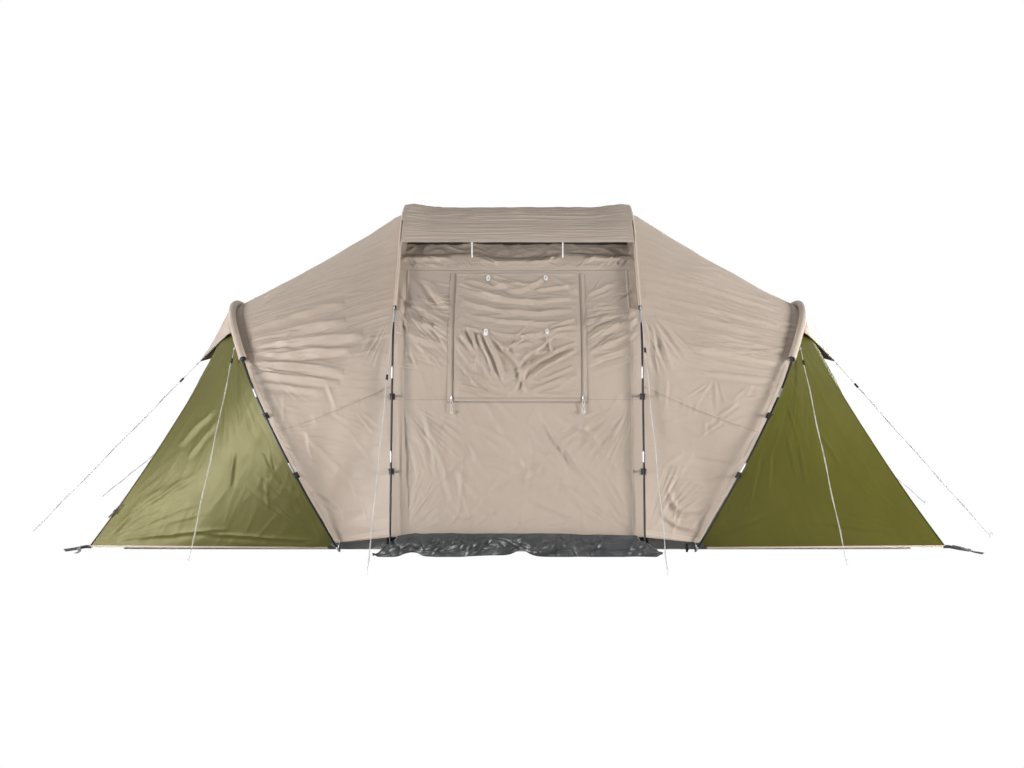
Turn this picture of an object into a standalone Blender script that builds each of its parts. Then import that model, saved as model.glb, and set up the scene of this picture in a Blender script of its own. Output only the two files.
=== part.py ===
"""Two-bedroom family tent: a tall living room between two sleeping ends, on four hoop poles.

Metres, +Z up. The origin is on the ground at the middle of the tent. +X runs along the tent,
and -Y is the side with the front door. The tent is the same at its left and right ends and,
apart from the door and its vent, at its front and back.
"""

import math

import bmesh
import bpy
from mathutils import Matrix, Vector

# Hoop poles. A profile runs from the foot to the top: distance from the middle plane, height.
CENTRE_HOOP_X = 0.638
CENTRE_PROFILE = [
    (1.10, 0.0), (1.045, 0.40), (0.98, 0.80), (0.91, 1.12), (0.80, 1.27),
    (0.57, 1.52), (0.42, 1.70), (0.22, 1.83), (0.0, 1.89),
]
END_HOOP_X = 0.913
END_HOOP_LEAN = 0.516
END_PROFILE = [
    (0.90, 0.0), (0.96, 0.12), (1.04, 0.40), (1.045, 0.58), (0.99, 0.80),
    (0.84, 0.99), (0.48, 1.24), (0.0, 1.34),
]
RIDGE = CENTRE_PROFILE[-1][1]
POLE_RADIUS = 0.0055
SLEEVE_RADIUS = 0.020
SLEEVE_WALL = 0.001
CENTRE_SLEEVE_END = 1.27
END_SLEEVE_END = 1.00

# Fabric
CLOTH = 0.001
GAP = 0.00035
CENTRE_HEM = 0.095
END_HEM = 0.03
GREEN_HEM = 0.02
CORNER_X = 2.22
CORNER_Y = 0.84
FOOT_TURN = 0.04
RIDGE_SAG = 0.02
ROOF_SAG = 0.012
END_SAG = 0.06

# Front door, its window and the vent above it
DOOR_TOP = 1.50
DOOR_HALF_WIDTH = 0.585
WINDOW_SILL = 0.79
WINDOW_HALF_WIDTH = 0.30
WINDOW_MARGIN = 0.04
COVER_HALF_WIDTH = 0.325
COVER_RISE = 0.025
VENT_SILL = DOOR_TOP + 11 / 39 * (RIDGE - DOOR_TOP)
VENT_HINGE = DOOR_TOP + 26.5 / 39 * (RIDGE - DOOR_TOP)
FLAP_LENGTH = 45 / 31 * (VENT_HINGE - VENT_SILL)
FLAP_DROP = 33.0
STRUT_RADIUS = 0.003
STRUT_X = 0.245
STRUT_FOOT = DOOR_TOP + 5 / 11 * (VENT_SILL - DOOR_TOP)
ZIP_X = 0.336
ZIP_LENGTH = 0.014
ZIP_WIDTH = 0.009
ZIP_HEIGHT = 0.005
PULL_LENGTH = 0.07
PULL_RADIUS = 0.0015
PULL_POINTS = 9

# Hoods over the end vents
HOOD_TIP_X = 1.825
HOOD_TIP_Z = 1.0
HOOD_START = 0.02

# Groundsheet of the living room, with its raised lips at the front and the back
SHEET_HALF_WIDTH = 0.6795
NECK_HALF_WIDTH = 0.60
LIP_HALF_WIDTH = 0.72
NECK_Y = 0.95
LIP_Y = 1.125
GROUND_EDGE_Y = 1.155
LIP_HEIGHT = 0.09

# Sleeping cabins
CABIN_X = 0.68
CABIN_FLOOR_X = 2.05
CABIN_ROOF_X = 1.45
CABIN_FLOOR_Y = 0.80
CABIN_ROOF_Y = 0.50
CABIN_HIGH = 1.33
CABIN_LOW = 1.10
CABIN_DOOR_WIDTH = 0.50
CABIN_DOOR_SILL = 0.12
CABIN_DOOR_TOP = 1.12

# Guy lines: each pegged point on the ground, for the right end where there is a pair
GUY_RADIUS = 0.0015
CENTRE_PEG = (0.672, -1.88)
NEAR_END_PEG = (1.553, -1.525)
FAR_LEFT_PEG = (-3.24, 3.03)
FAR_RIGHT_PEG = (3.01, 2.44)
HOOD_PEG_LEFT = (-2.80, 0.03)
HOOD_PEG_RIGHT = (2.67, -0.14)
GUY_END_HEIGHT = 0.018
GUY_STAND = 0.025
RUNNER_RADIUS = 0.006
RUNNER_BORE = 0.0022
RUNNER_LENGTH = 0.030
RUNNER_SIDES = 8
GUY_SPANS = 4
PEG_RADIUS = 0.002
# A wire peg above the ground: distance towards its hook's tip, height
PEG_PROFILE = [(0, 0.001), (0, 0.023), (0.003, 0.029), (0.007, 0.031), (0.012, 0.028), (0.014, 0.017)]

# Webbing straps at the ground corners
STRAP_WIDTH = 0.025
STRAP_THICKNESS = 0.002
STRAP_END_X = 2.37
STRAP_SPREAD = 0.05
STRAP_LAP = 0.012

# How the hoops are divided: a named height and the number of steps that lead up to it
CENTRE_STEPS = [(CENTRE_HEM, 0), (WINDOW_SILL, 3), (CENTRE_SLEEVE_END, 4), (DOOR_TOP, 3),
                (VENT_SILL, 1), (VENT_HINGE, 2), (RIDGE, 3)]
END_STEPS = [(END_HEM, 0), (END_SLEEVE_END, 9), (END_PROFILE[-1][1], 7)]
TOP = 16
SILL_STEP = 3
SLEEVE_STEP = 7
DOOR_STEP = 10
VENT_SILL_STEP = 11
VENT_STEP = 13
END_SLEEVE_STEP = 9
END_GUY_STEP = 10
CREASE_STEP = 12
HOOD_STEP = 11

SIDES = {"left": -1, "right": 1}
TUBE_SIDES = 8

# A sleeve hangs on its pole, and the fabric is sewn below the sleeve.
SLEEVE_SHIFT = SLEEVE_RADIUS - SLEEVE_WALL - POLE_RADIUS - 2 * GAP
FABRIC_INSET = SLEEVE_SHIFT + SLEEVE_RADIUS + GAP + CLOTH
SEAM = 0.0009

MIDDLE_HEIGHT = 0.5
INSIDE = Vector((0, 0, MIDDLE_HEIGHT))


def clear_scene():
    for obj in list(bpy.data.objects):
        bpy.data.objects.remove(obj)


def paint(name, colour, roughness, metallic=0.0):
    """A plain material."""
    material = bpy.data.materials.new(name)
    material.use_nodes = True
    shader = material.node_tree.nodes["Principled BSDF"]
    shader.inputs["Base Color"].default_value = (*colour, 1)
    shader.inputs["Roughness"].default_value = roughness
    shader.inputs["Metallic"].default_value = metallic
    return material


def add(name, mesh, colour, roughness, metallic=0.0):
    """Puts a mesh in the tent's collection as a named part with its own material."""
    obj = bpy.data.objects.new(name, mesh)
    bpy.data.collections["Tent"].objects.link(obj)
    mesh.materials.clear()
    mesh.materials.append(paint(name, colour, roughness, metallic))
    return obj


BEIGE = (0.50, 0.43, 0.37)
GREEN = (0.16, 0.17, 0.04)
BLACK = (0.02, 0.02, 0.02)
SHEETING = (0.04, 0.04, 0.045)
INNER = (0.45, 0.44, 0.40)
CORD = (0.70, 0.70, 0.68)
STEEL = (0.55, 0.55, 0.57)
CLEAR = (0.75, 0.78, 0.80)


def smooth_line(knots, per_span=24):
    """Points along a smooth curve through the knots of a hoop, from one foot over the top to the other."""
    full = [(-y, z) for y, z in knots] + [(y, z) for y, z in reversed(knots[:-1])]
    full = [Vector(p) for p in full]
    ends = [full[0] * 2 - full[1]] + full + [full[-1] * 2 - full[-2]]
    line = []
    for a, b, c, d in zip(ends, ends[1:], ends[2:], ends[3:]):
        for k in range(per_span):
            t = k / per_span
            line.append(0.5 * (2 * b + (c - a) * t + (2 * a - 5 * b + 4 * c - d) * t * t
                               + (3 * b - a - 3 * c + d) * t ** 3))
    return line + [full[-1]]


class Hoop:
    """A hoop in its own plane, as a row of stations from the front hem over the top to the rear hem.

    A flat point is a distance from the middle plane and a distance up the leaning plane.
    """

    def __init__(self, knots, steps, plane_x, lean):
        self.plane_x = plane_x
        self.lean = lean
        self.rise = math.hypot(1, lean)
        line = smooth_line([(y, z * self.rise) for y, z in knots])
        front = line[:len(line) // 2 + 1]
        lengths = [0.0]
        for a, b in zip(front, front[1:]):
            lengths.append(lengths[-1] + (b - a).length)
        self.front = front
        self.lengths = lengths
        marks = [self._length_at(z) for z, _ in steps]
        marks[-1] = lengths[-1]
        places = [marks[0]]
        for start, end, (_, count) in zip(marks, marks[1:], steps[1:]):
            places += [start + (end - start) * (k + 1) / count for k in range(count)]
        half = [self._along(s) for s in places]
        self.stations = half + [Vector((-p.x, p.y)) for p in reversed(half[:-1])]
        self.count = len(self.stations)
        self.foot = Vector((-knots[0][0], knots[0][1]))

    def _length_at(self, z):
        high = z * self.rise
        for k, (a, b) in enumerate(zip(self.front, self.front[1:])):
            if a.y <= high <= b.y:
                share = (high - a.y) / max(b.y - a.y, 1e-9)
                return self.lengths[k] + share * (b - a).length
        return self.lengths[-1]

    def _along(self, s):
        for k in range(len(self.lengths) - 1):
            if s <= self.lengths[k + 1]:
                span = self.lengths[k + 1] - self.lengths[k]
                return self.front[k].lerp(self.front[k + 1], (s - self.lengths[k]) / span)
        return self.front[-1].copy()

    def flat(self, i, inset=0.0):
        """Station i in the hoop's plane, moved inward so that each side moves by the whole inset."""
        here = self.stations[i]
        before = (here - self.stations[i - 1]).normalized() if i > 0 else None
        after = (self.stations[i + 1] - here).normalized() if i < self.count - 1 else None
        before = before or after
        after = after or before
        tangent = (before + after).normalized()
        inward = Vector((tangent.y, -tangent.x))
        return here + inward * inset / tangent.dot(after)

    def world(self, flat, side=1, shift=0.0):
        """A point of the hoop's plane in the world, moved out of the plane by shift."""
        across = Vector((1, 0, -self.lean)) / self.rise * shift
        z = flat.y / self.rise
        return Vector((side * (self.plane_x + self.lean * z + across.x), flat.x, z + across.z))

    def frame(self, side):
        """The matrix that stands flat points up in the hoop's plane."""
        up = Vector((side * self.lean, 0, 1)) / self.rise
        along = Vector((0, 1, 0))
        turn = Matrix((along, up, along.cross(up))).transposed()
        return Matrix.Translation((side * self.plane_x, 0, 0)) @ turn.to_4x4()

    def point(self, i, inset=0.0, side=1, shift=0.0):
        return self.world(self.flat(i, inset), side, shift)

    def leg_distance(self, z):
        """How far the hoop's legs stand from the middle plane at a height."""
        return abs(self._along(self._length_at(z)).x)


CENTRE = Hoop(CENTRE_PROFILE, CENTRE_STEPS, CENTRE_HOOP_X, 0.0)
END = Hoop(END_PROFILE, END_STEPS, END_HOOP_X, END_HOOP_LEAN)
LAST = 2 * TOP


def face_out(bm, inside):
    """Turns the faces of an open sheet away from a point on its inner side."""
    bmesh.ops.recalc_face_normals(bm, faces=bm.faces)
    lean = sum(f.normal.dot(f.calc_center_median() - inside) * f.calc_area() for f in bm.faces)
    if lean < 0:
        bmesh.ops.reverse_faces(bm, faces=bm.faces)


def solidify(obj, thickness, offset):
    wall = obj.modifiers.new("wall", "SOLIDIFY")
    wall.thickness = thickness
    wall.offset = offset


def sheet(name, rows, colour, inside=INSIDE, skip=(), outward=True, roughness=0.7):
    """A cloth through rows of points. Its thickness goes outward, or inward, from them."""
    bm = bmesh.new()
    grid = [[bm.verts.new(p) for p in row] for row in rows]
    for i in range(len(grid) - 1):
        for j in range(len(grid[0]) - 1):
            if (i, j) not in skip:
                bm.faces.new((grid[i][j], grid[i + 1][j], grid[i + 1][j + 1], grid[i][j + 1]))
    loose = [v for v in bm.verts if not v.link_faces]
    bmesh.ops.delete(bm, geom=loose, context="VERTS")
    face_out(bm, inside)
    mesh = bpy.data.meshes.new(name)
    bm.to_mesh(mesh)
    bm.free()
    obj = add(name, mesh, colour, roughness)
    solidify(obj, CLOTH, 1 if outward else -1)
    return obj


def wire(name, points, radius, sides=TUBE_SIDES, caps=True):
    """A curve object with a round section."""
    curve = bpy.data.curves.new(name, "CURVE")
    curve.dimensions = "3D"
    curve.bevel_depth = radius
    curve.bevel_resolution = sides // 2 - 2
    curve.use_fill_caps = caps
    spline = curve.splines.new("POLY")
    spline.points.add(len(points) - 1)
    for point, place in zip(spline.points, points):
        point.co = (*place, 1)
    return curve


def tube(name, points, radius, colour, roughness=0.4, metallic=0.0, sides=TUBE_SIDES):
    return add(name, wire(name, points, radius, sides), colour, roughness, metallic)


def sleeve(name, flats, frame, colour):
    """An open fabric tube that a pole runs through."""
    guide = bpy.data.objects.new(name + "_guide", wire(name, flats, SLEEVE_RADIUS, caps=False))
    bpy.context.scene.collection.objects.link(guide)
    bpy.context.view_layer.update()
    graph = bpy.context.evaluated_depsgraph_get()
    mesh = bpy.data.meshes.new_from_object(guide.evaluated_get(graph))
    bpy.data.objects.remove(guide)
    obj = add(name, mesh, colour, 0.7)
    obj.matrix_world = frame
    solidify(obj, SLEEVE_WALL, -1)
    return obj


def hoop_pole(name, hoop, side):
    foot = hoop.foot.copy()
    foot.y = POLE_RADIUS
    other = Vector((-foot.x, foot.y))
    flats = [foot] + [hoop.flat(i) for i in range(hoop.count)] + [other]
    pole = tube(name, [(p.x, p.y, 0) for p in flats], POLE_RADIUS, BLACK, 0.35)
    pole.matrix_world = hoop.frame(side)


def hoop_sleeve(name, hoop, side, first):
    flats = [hoop.flat(i, SLEEVE_SHIFT) for i in range(first, LAST - first + 1)]
    sleeve(name, [(p.x, p.y, 0) for p in flats], hoop.frame(side), BEIGE)


def centre_row(i, columns, inset=FABRIC_INSET, lift=0.0):
    """Points at station i of the centre hoops' shape, one for each X in columns."""
    flat = CENTRE.flat(i, inset)
    return [Vector((x, flat.x, flat.y + lift)) for x in columns]


def bedroom_fly(side, name):
    """The beige cloth from a centre hoop to an end hoop."""
    across = 6
    rows = []
    for i in range(LAST + 1):
        a = CENTRE.point(i, FABRIC_INSET, side, SEAM)
        b = END.point(i, FABRIC_INSET, side, -SEAM)
        row = []
        for k in range(across + 1):
            u = k / across
            p = a.lerp(b, u)
            top = math.sin(math.pi * i / LAST)
            p.z -= RIDGE_SAG * 4 * u * (1 - u) * top
            row.append(p)
        rows.append(row)
    sheet("bedroom_fly_" + name, rows, BEIGE)


def ground_edge(i, side):
    """Where the green end cloth meets the ground, for each station of the end hoop."""
    start = END.point(0, FABRIC_INSET, side, SEAM)
    start = Vector((start.x + side * FOOT_TURN, start.y, GREEN_HEM))
    corner = Vector((side * CORNER_X, -CORNER_Y, GREEN_HEM))
    k = min(i, LAST - i)
    if k <= CREASE_STEP:
        p = start.lerp(corner, k / CREASE_STEP)
    else:
        middle = Vector((corner.x, 0, corner.z))
        p = corner.lerp(middle, (k - CREASE_STEP) / (TOP - CREASE_STEP))
    return p if i <= TOP else Vector((p.x, -p.y, p.z))


def end_panel(side, name):
    """The green cloth that closes an end, from the end hoop down to the ground corners."""
    across = 5
    rows = []
    for i in range(LAST + 1):
        a = END.point(i, FABRIC_INSET, side, SEAM)
        b = ground_edge(i, side)
        sag = END_SAG * min(i, LAST - i) / TOP
        rows.append([])
        for k in range(across + 1):
            u = k / across
            p = a.lerp(b, u)
            p.z -= sag * 4 * u * (1 - u)
            rows[-1].append(p)
    sheet("end_panel_" + name, rows, GREEN, Vector((side * END_HOOP_X, 0, MIDDLE_HEIGHT)))


def end_hood(side, name):
    """The beige hood over an end's vent, from the end hoop's sleeve out to its tip."""
    out = SLEEVE_RADIUS + GAP
    tip = Vector((side * HOOD_TIP_X, 0, HOOD_TIP_Z))
    rows = []
    for i in range(HOOD_STEP, LAST - HOOD_STEP + 1):
        top = END.point(i, SLEEVE_SHIFT, side, out)
        k = min(i, LAST - i)
        start = END.point(HOOD_STEP, SLEEVE_SHIFT, side, out + HOOD_START)
        low = start.lerp(tip, (k - HOOD_STEP) / (TOP - HOOD_STEP))
        if i > TOP:
            low.y = -low.y
        rows.append([top.lerp(low, u / 3) for u in range(4)])
    sheet("end_hood_" + name, rows, BEIGE, Vector((side * END_HOOP_X, 0, MIDDLE_HEIGHT)))


def roof():
    """The cloth over the living room, from the vent's hinge over the top to above the rear wall."""
    edge = CENTRE_HOOP_X - SLEEVE_RADIUS - GAP
    columns = [edge * k for k in (-1, -0.5, 0, 0.5, 1)]
    rows = []
    for i in range(VENT_STEP, LAST - VENT_SILL_STEP + 1):
        row = centre_row(i, columns, SLEEVE_SHIFT)
        for p in row:
            p.z -= ROOF_SAG * (1 - (p.x / edge) ** 2) * min(1, (i - VENT_STEP) / (TOP - VENT_STEP))
        rows.append(row)
    sheet("roof_fly", rows, BEIGE)


def rear_wall():
    """The cloth that closes the back of the living room."""
    edge = CENTRE_HOOP_X - SEAM
    columns = [edge * k for k in (-1, -0.5, 0, 0.5, 1)]
    rows = [centre_row(i, columns) for i in range(LAST - VENT_STEP, LAST + 1)]
    sheet("rear_wall", rows, BEIGE)


def front_surround():
    """The strips beside the door and the lintel above it, up to under the roof."""
    edge = CENTRE_HOOP_X - SEAM
    columns = [-edge, -DOOR_HALF_WIDTH, 0, DOOR_HALF_WIDTH, edge]
    rows = [centre_row(i, columns) for i in range(VENT_STEP + 1)]
    door = [(i, j) for i in range(DOOR_STEP) for j in (1, 2)]
    sheet("front_surround", rows, BEIGE, skip=door)


def between(i, u, inset):
    """A point a share u of the way from station i of the centre hoops to the next one."""
    return CENTRE.flat(i, inset).lerp(CENTRE.flat(i + 1, inset), u)


def window_heights():
    """The door's flat points at the window's lower and upper edge."""
    low = between(SILL_STEP, WINDOW_MARGIN / step_length(SILL_STEP), FABRIC_INSET)
    high = between(DOOR_STEP - 1, 1 - 2 * WINDOW_MARGIN / step_length(DOOR_STEP - 1), FABRIC_INSET)
    return low, high


def step_length(i):
    return (CENTRE.flat(i + 1, FABRIC_INSET) - CENTRE.flat(i, FABRIC_INSET)).length


def door_panel():
    """The front door, with its window opening."""
    edge = DOOR_HALF_WIDTH - GAP
    columns = [-edge, -WINDOW_HALF_WIDTH, WINDOW_HALF_WIDTH, edge]
    low, high = window_heights()
    flats = [CENTRE.flat(i, FABRIC_INSET) for i in range(SILL_STEP + 1)] + [low]
    flats += [CENTRE.flat(i, FABRIC_INSET) for i in range(SILL_STEP + 1, DOOR_STEP)] + [high]
    top = between(DOOR_STEP - 1, 1 - GAP / step_length(DOOR_STEP - 1), FABRIC_INSET)
    flats.append(top)
    rows = [[Vector((x, p.x, p.y)) for x in columns] for p in flats]
    first = SILL_STEP + 1
    window = [(i, 1) for i in range(first, len(rows) - 2)]
    sheet("door_panel", rows, BEIGE, skip=window)


def window_pane():
    """The clear pane in the door."""
    edge = WINDOW_HALF_WIDTH - GAP
    low, high = window_heights()
    second = CENTRE.flat(SILL_STEP + 1, FABRIC_INSET)
    before = CENTRE.flat(DOOR_STEP - 1, FABRIC_INSET)
    low = low + (second - low).normalized() * GAP
    high = high + (before - high).normalized() * GAP
    flats = [low] + [CENTRE.flat(i, FABRIC_INSET) for i in range(SILL_STEP + 1, DOOR_STEP)] + [high]
    rows = [[Vector((x, p.x, p.y)) for x in (-edge, edge)] for p in flats]
    sheet("window_pane", rows, CLEAR, roughness=0.1)


def window_cover():
    """The flap that covers the window from outside."""
    inset = FABRIC_INSET - CLOTH - GAP
    top = between(DOOR_STEP - 1, 1 - COVER_RISE / step_length(DOOR_STEP - 1), inset)
    flats = [CENTRE.flat(i, inset) for i in range(SILL_STEP, DOOR_STEP)] + [top]
    rows = [[Vector((x, p.x, p.y)) for x in (-COVER_HALF_WIDTH, 0, COVER_HALF_WIDTH)] for p in flats]
    sheet("window_cover", rows, BEIGE)


def flap_edge():
    """The vent flap's hinge and its lower edge, on their inner side."""
    hinge = CENTRE.flat(VENT_STEP, SLEEVE_SHIFT)
    slope = math.radians(FLAP_DROP)
    along = Vector((-math.cos(slope), -math.sin(slope)))
    return hinge + along * 2 * GAP, hinge + along * FLAP_LENGTH


def vent_flap():
    """The flap over the roof vent, held open by two struts."""
    edge = CENTRE_HOOP_X - SLEEVE_RADIUS - 2 * GAP
    top, low = flap_edge()
    rows = []
    for k in range(4):
        p = top.lerp(low, k / 3)
        rows.append([Vector((x * edge, p.x, p.y)) for x in (-1, -0.5, 0, 0.5, 1)])
    sheet("vent_flap", rows, BEIGE)


def strut_ends(side):
    """A vent strut's foot on the lintel and its head in front of the flap's lower edge."""
    skin = FABRIC_INSET - CLOTH - GAP - STRUT_RADIUS
    foot = None
    for i in range(DOOR_STEP, VENT_SILL_STEP + 1):
        a, b = CENTRE.flat(i, skin), CENTRE.flat(i + 1, skin)
        if a.y <= STRUT_FOOT <= b.y:
            foot = a.lerp(b, (STRUT_FOOT - a.y) / (b.y - a.y))
    foot = foot or CENTRE.flat(DOOR_STEP, skin)
    head = flap_edge()[1] + Vector((-2 * GAP - STRUT_RADIUS, 0))
    return Vector((side * STRUT_X, foot.x, foot.y)), Vector((side * STRUT_X, head.x, head.y))


def vent_strut(side, name):
    tube("vent_strut_" + name, strut_ends(side), STRUT_RADIUS, CORD, 0.4)


def zip_frame(side):
    """A window zip's slider: its middle, the way up the zip and the way out of the cloth."""
    a = CENTRE.flat(SILL_STEP, FABRIC_INSET - CLOTH)
    b = CENTRE.flat(SILL_STEP + 1, FABRIC_INSET - CLOTH)
    up = (b - a).normalized()
    out = Vector((-up.y, up.x))
    middle = a + up * (ZIP_LENGTH / 2 + GAP) + out * (ZIP_HEIGHT / 2 + GAP)
    return (Vector((side * ZIP_X, middle.x, middle.y)), Vector((0, up.x, up.y)),
            Vector((0, out.x, out.y)))


def window_zip(side, name):
    """A zip slider at the window cover's lower corner, and the cord that pulls it."""
    middle, up, out = zip_frame(side)
    mesh = bpy.data.meshes.new("window_zip_" + name)
    bm = bmesh.new()
    bmesh.ops.create_cube(bm, size=1)
    bmesh.ops.scale(bm, vec=(ZIP_WIDTH, ZIP_HEIGHT, ZIP_LENGTH), verts=bm.verts)
    bm.to_mesh(mesh)
    bm.free()
    obj = add("window_zip_" + name, mesh, STEEL, 0.35, 1.0)
    turn = Matrix((up.cross(out) * -1, -out, up)).transposed()
    obj.matrix_world = Matrix.Translation(middle) @ turn.to_4x4()
    a = CENTRE.flat(SILL_STEP, FABRIC_INSET - CLOTH)
    below = CENTRE.flat(SILL_STEP - 1, FABRIC_INSET - CLOTH)
    down = (below - a).normalized()
    off = Vector((down.y, -down.x))
    start = a + off * (PULL_RADIUS + 3 * GAP)
    points = []
    for k in range(PULL_POINTS):
        p = start + down * (GAP + PULL_LENGTH * k / (PULL_POINTS - 1))
        points.append(Vector((side * ZIP_X, p.x, p.y)))
    tube("window_zip_cord_" + name, points, PULL_RADIUS, CORD, 0.8)


def groundsheet():
    """The living room's floor, with a lip at the front door and one at the back, against the poles."""
    lip = CENTRE.leg_distance(LIP_HEIGHT) + POLE_RADIUS + CLOTH + 2 * GAP
    columns = [-LIP_HALF_WIDTH, -SHEET_HALF_WIDTH, -NECK_HALF_WIDTH, 0,
               NECK_HALF_WIDTH, SHEET_HALF_WIDTH, LIP_HALF_WIDTH]
    half = [(lip, LIP_HEIGHT), (GROUND_EDGE_Y, 0), (LIP_Y, 0), (NECK_Y, 0)]
    line = [(-y, z) for y, z in half] + [(y, z) for y, z in reversed(half)]
    rows = [[Vector((x, y, z)) for x in columns] for y, z in line]
    skip = [(2, j) for j in (0, 1, 4, 5)] + [(3, 0), (3, 5)] + [(4, j) for j in (0, 1, 4, 5)]
    sheet("groundsheet", rows, SHEETING, INSIDE, skip, False, 0.35)


def cabin_box(side):
    """The sleeping cabin's floor corners and roof corners, from the front round to the back."""
    x, y = side * CABIN_X, CABIN_FLOOR_Y
    floor = [(x, -y, 0), (side * CABIN_FLOOR_X, -y, 0), (side * CABIN_FLOOR_X, y, 0), (x, y, 0)]
    y = CABIN_ROOF_Y
    high = [(x, -y, CABIN_HIGH), (side * CABIN_ROOF_X, -y, CABIN_LOW),
            (side * CABIN_ROOF_X, y, CABIN_LOW), (x, y, CABIN_HIGH)]
    return floor, high


def cabin(side, name):
    """A sleeping cabin that hangs inside the fly, open at its doorway."""
    floor, high = cabin_box(side)
    half = CABIN_DOOR_WIDTH / 2
    x = side * CABIN_X
    way = [(x, -half, CABIN_DOOR_SILL), (x, half, CABIN_DOOR_SILL),
           (x, half, CABIN_DOOR_TOP), (x, -half, CABIN_DOOR_TOP)]
    bm = bmesh.new()
    f = [bm.verts.new(p) for p in floor]
    h = [bm.verts.new(p) for p in high]
    w = [bm.verts.new(p) for p in way]
    bm.faces.new(f)
    bm.faces.new(h)
    for a, b in ((0, 1), (1, 2), (2, 3)):
        bm.faces.new((f[a], f[b], h[b], h[a]))
    frame = [f[0], f[3], h[3], h[0]]
    for k in range(4):
        n = (k + 1) % 4
        bm.faces.new((frame[k], frame[n], w[n], w[k]))
    face_out(bm, Vector((side * (CABIN_X + CABIN_ROOF_X) / 2, 0, CABIN_LOW / 2)))
    mesh = bpy.data.meshes.new("cabin_" + name)
    bm.to_mesh(mesh)
    bm.free()
    solidify(add("cabin_" + name, mesh, INNER, 0.8), CLOTH, -1)


def cabin_door(side, name):
    """The cabin's door leaf, which turns about its rear edge into the living room."""
    half = CABIN_DOOR_WIDTH / 2 - GAP
    x = side * (CABIN_X + CLOTH)
    low, high = CABIN_DOOR_SILL + GAP, CABIN_DOOR_TOP - GAP
    rows = [[Vector((x, y, z)) for z in (low, high)] for y in (-half, 0, half)]
    sheet("cabin_door_" + name, rows, INNER, Vector((side * CABIN_FLOOR_X, 0, MIDDLE_HEIGHT)))


def strap(side, end, name):
    """A webbing strap on the ground at a corner of the green cloth."""
    start = Vector((side * (CORNER_X - STRAP_LAP), end * CORNER_Y,
                    GREEN_HEM - STRAP_THICKNESS - GAP))
    knee = Vector((side * (CORNER_X + STRAP_LAP), end * CORNER_Y, start.z))
    middle = Vector((side * (CORNER_X + STRAP_END_X) / 2, end * (CORNER_Y + STRAP_SPREAD / 2),
                     GREEN_HEM / 2))
    finish = Vector((side * STRAP_END_X, end * (CORNER_Y + STRAP_SPREAD), GAP))
    along = (finish - start)
    across = Vector((along.y, -along.x, 0)).normalized() * STRAP_WIDTH / 2
    rows = [[p - across, p + across] for p in (start, knee, middle, finish)]
    obj = sheet("corner_strap_" + name, rows, BLACK, Vector((side * CORNER_X, end * CORNER_Y, -1)))
    obj.modifiers["wall"].thickness = STRAP_THICKNESS


def guys():
    """Each guy line's name, its first points at the tent and its peg's place on the ground."""
    found = []
    for name, side in SIDES.items():
        peg = (side * CENTRE_PEG[0], CENTRE_PEG[1])
        found.append(("centre_" + name, pole_start(side), peg))
        peg = (side * NEAR_END_PEG[0], NEAR_END_PEG[1])
        found.append(("front_" + name, sleeve_start(END_GUY_STEP, side), peg))
        peg = FAR_LEFT_PEG if side < 0 else FAR_RIGHT_PEG
        found.append(("rear_" + name, sleeve_start(LAST - END_GUY_STEP, side), peg))
        peg = HOOD_PEG_LEFT if side < 0 else HOOD_PEG_RIGHT
        found.append(("hood_" + name, hood_start(side, peg), peg))
    return found


def pole_start(side):
    """A guy's start at the centre hoop, straight out to the front for a little way."""
    here = CENTRE.point(SLEEVE_STEP, 0, side)
    along = (CENTRE.flat(SLEEVE_STEP) - CENTRE.flat(SLEEVE_STEP - 1)).normalized()
    off = (POLE_RADIUS + GAP + GUY_RADIUS * along.x) / along.y
    return [here - Vector((0, off, 0)), here - Vector((0, off + GUY_STAND, 0))]


def sleeve_start(i, side):
    """A guy's start just outside the end hoop's sleeve."""
    return [END.point(i, SLEEVE_SHIFT, side, SLEEVE_RADIUS + GAP + GUY_RADIUS)]


def hood_start(side, peg):
    """A guy's start just past the tip of an end's hood, on the way to its peg."""
    tip = Vector((side * HOOD_TIP_X, 0, HOOD_TIP_Z))
    down = (Vector((*peg, GUY_END_HEIGHT)) - tip).normalized()
    return [tip + down * 2 * GAP]


def guy_end(start, peg):
    """A guy's lower end, beside its peg."""
    down = (Vector((*peg, GUY_END_HEIGHT)) - start).normalized()
    away = Vector((down.x, down.y, 0)).normalized()
    reach = PEG_RADIUS + GAP - GUY_RADIUS * down.z
    return Vector((*peg, GUY_END_HEIGHT)) - away * reach, away


RUNNER_PLACE = {
    "centre_left": 0.30, "centre_right": 0.19, "front_left": 0.075, "front_right": 0.085,
    "rear_left": 0.20, "rear_right": 0.21, "hood_left": 0.107, "hood_right": 0.14,
}


def guy(name, first, peg):
    start = first[-1]
    end, _ = guy_end(start, peg)
    points = first[:-1] + [start.lerp(end, k / GUY_SPANS) for k in range(GUY_SPANS + 1)]
    tube("guy_" + name, points, GUY_RADIUS, CORD, 0.8)


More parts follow.
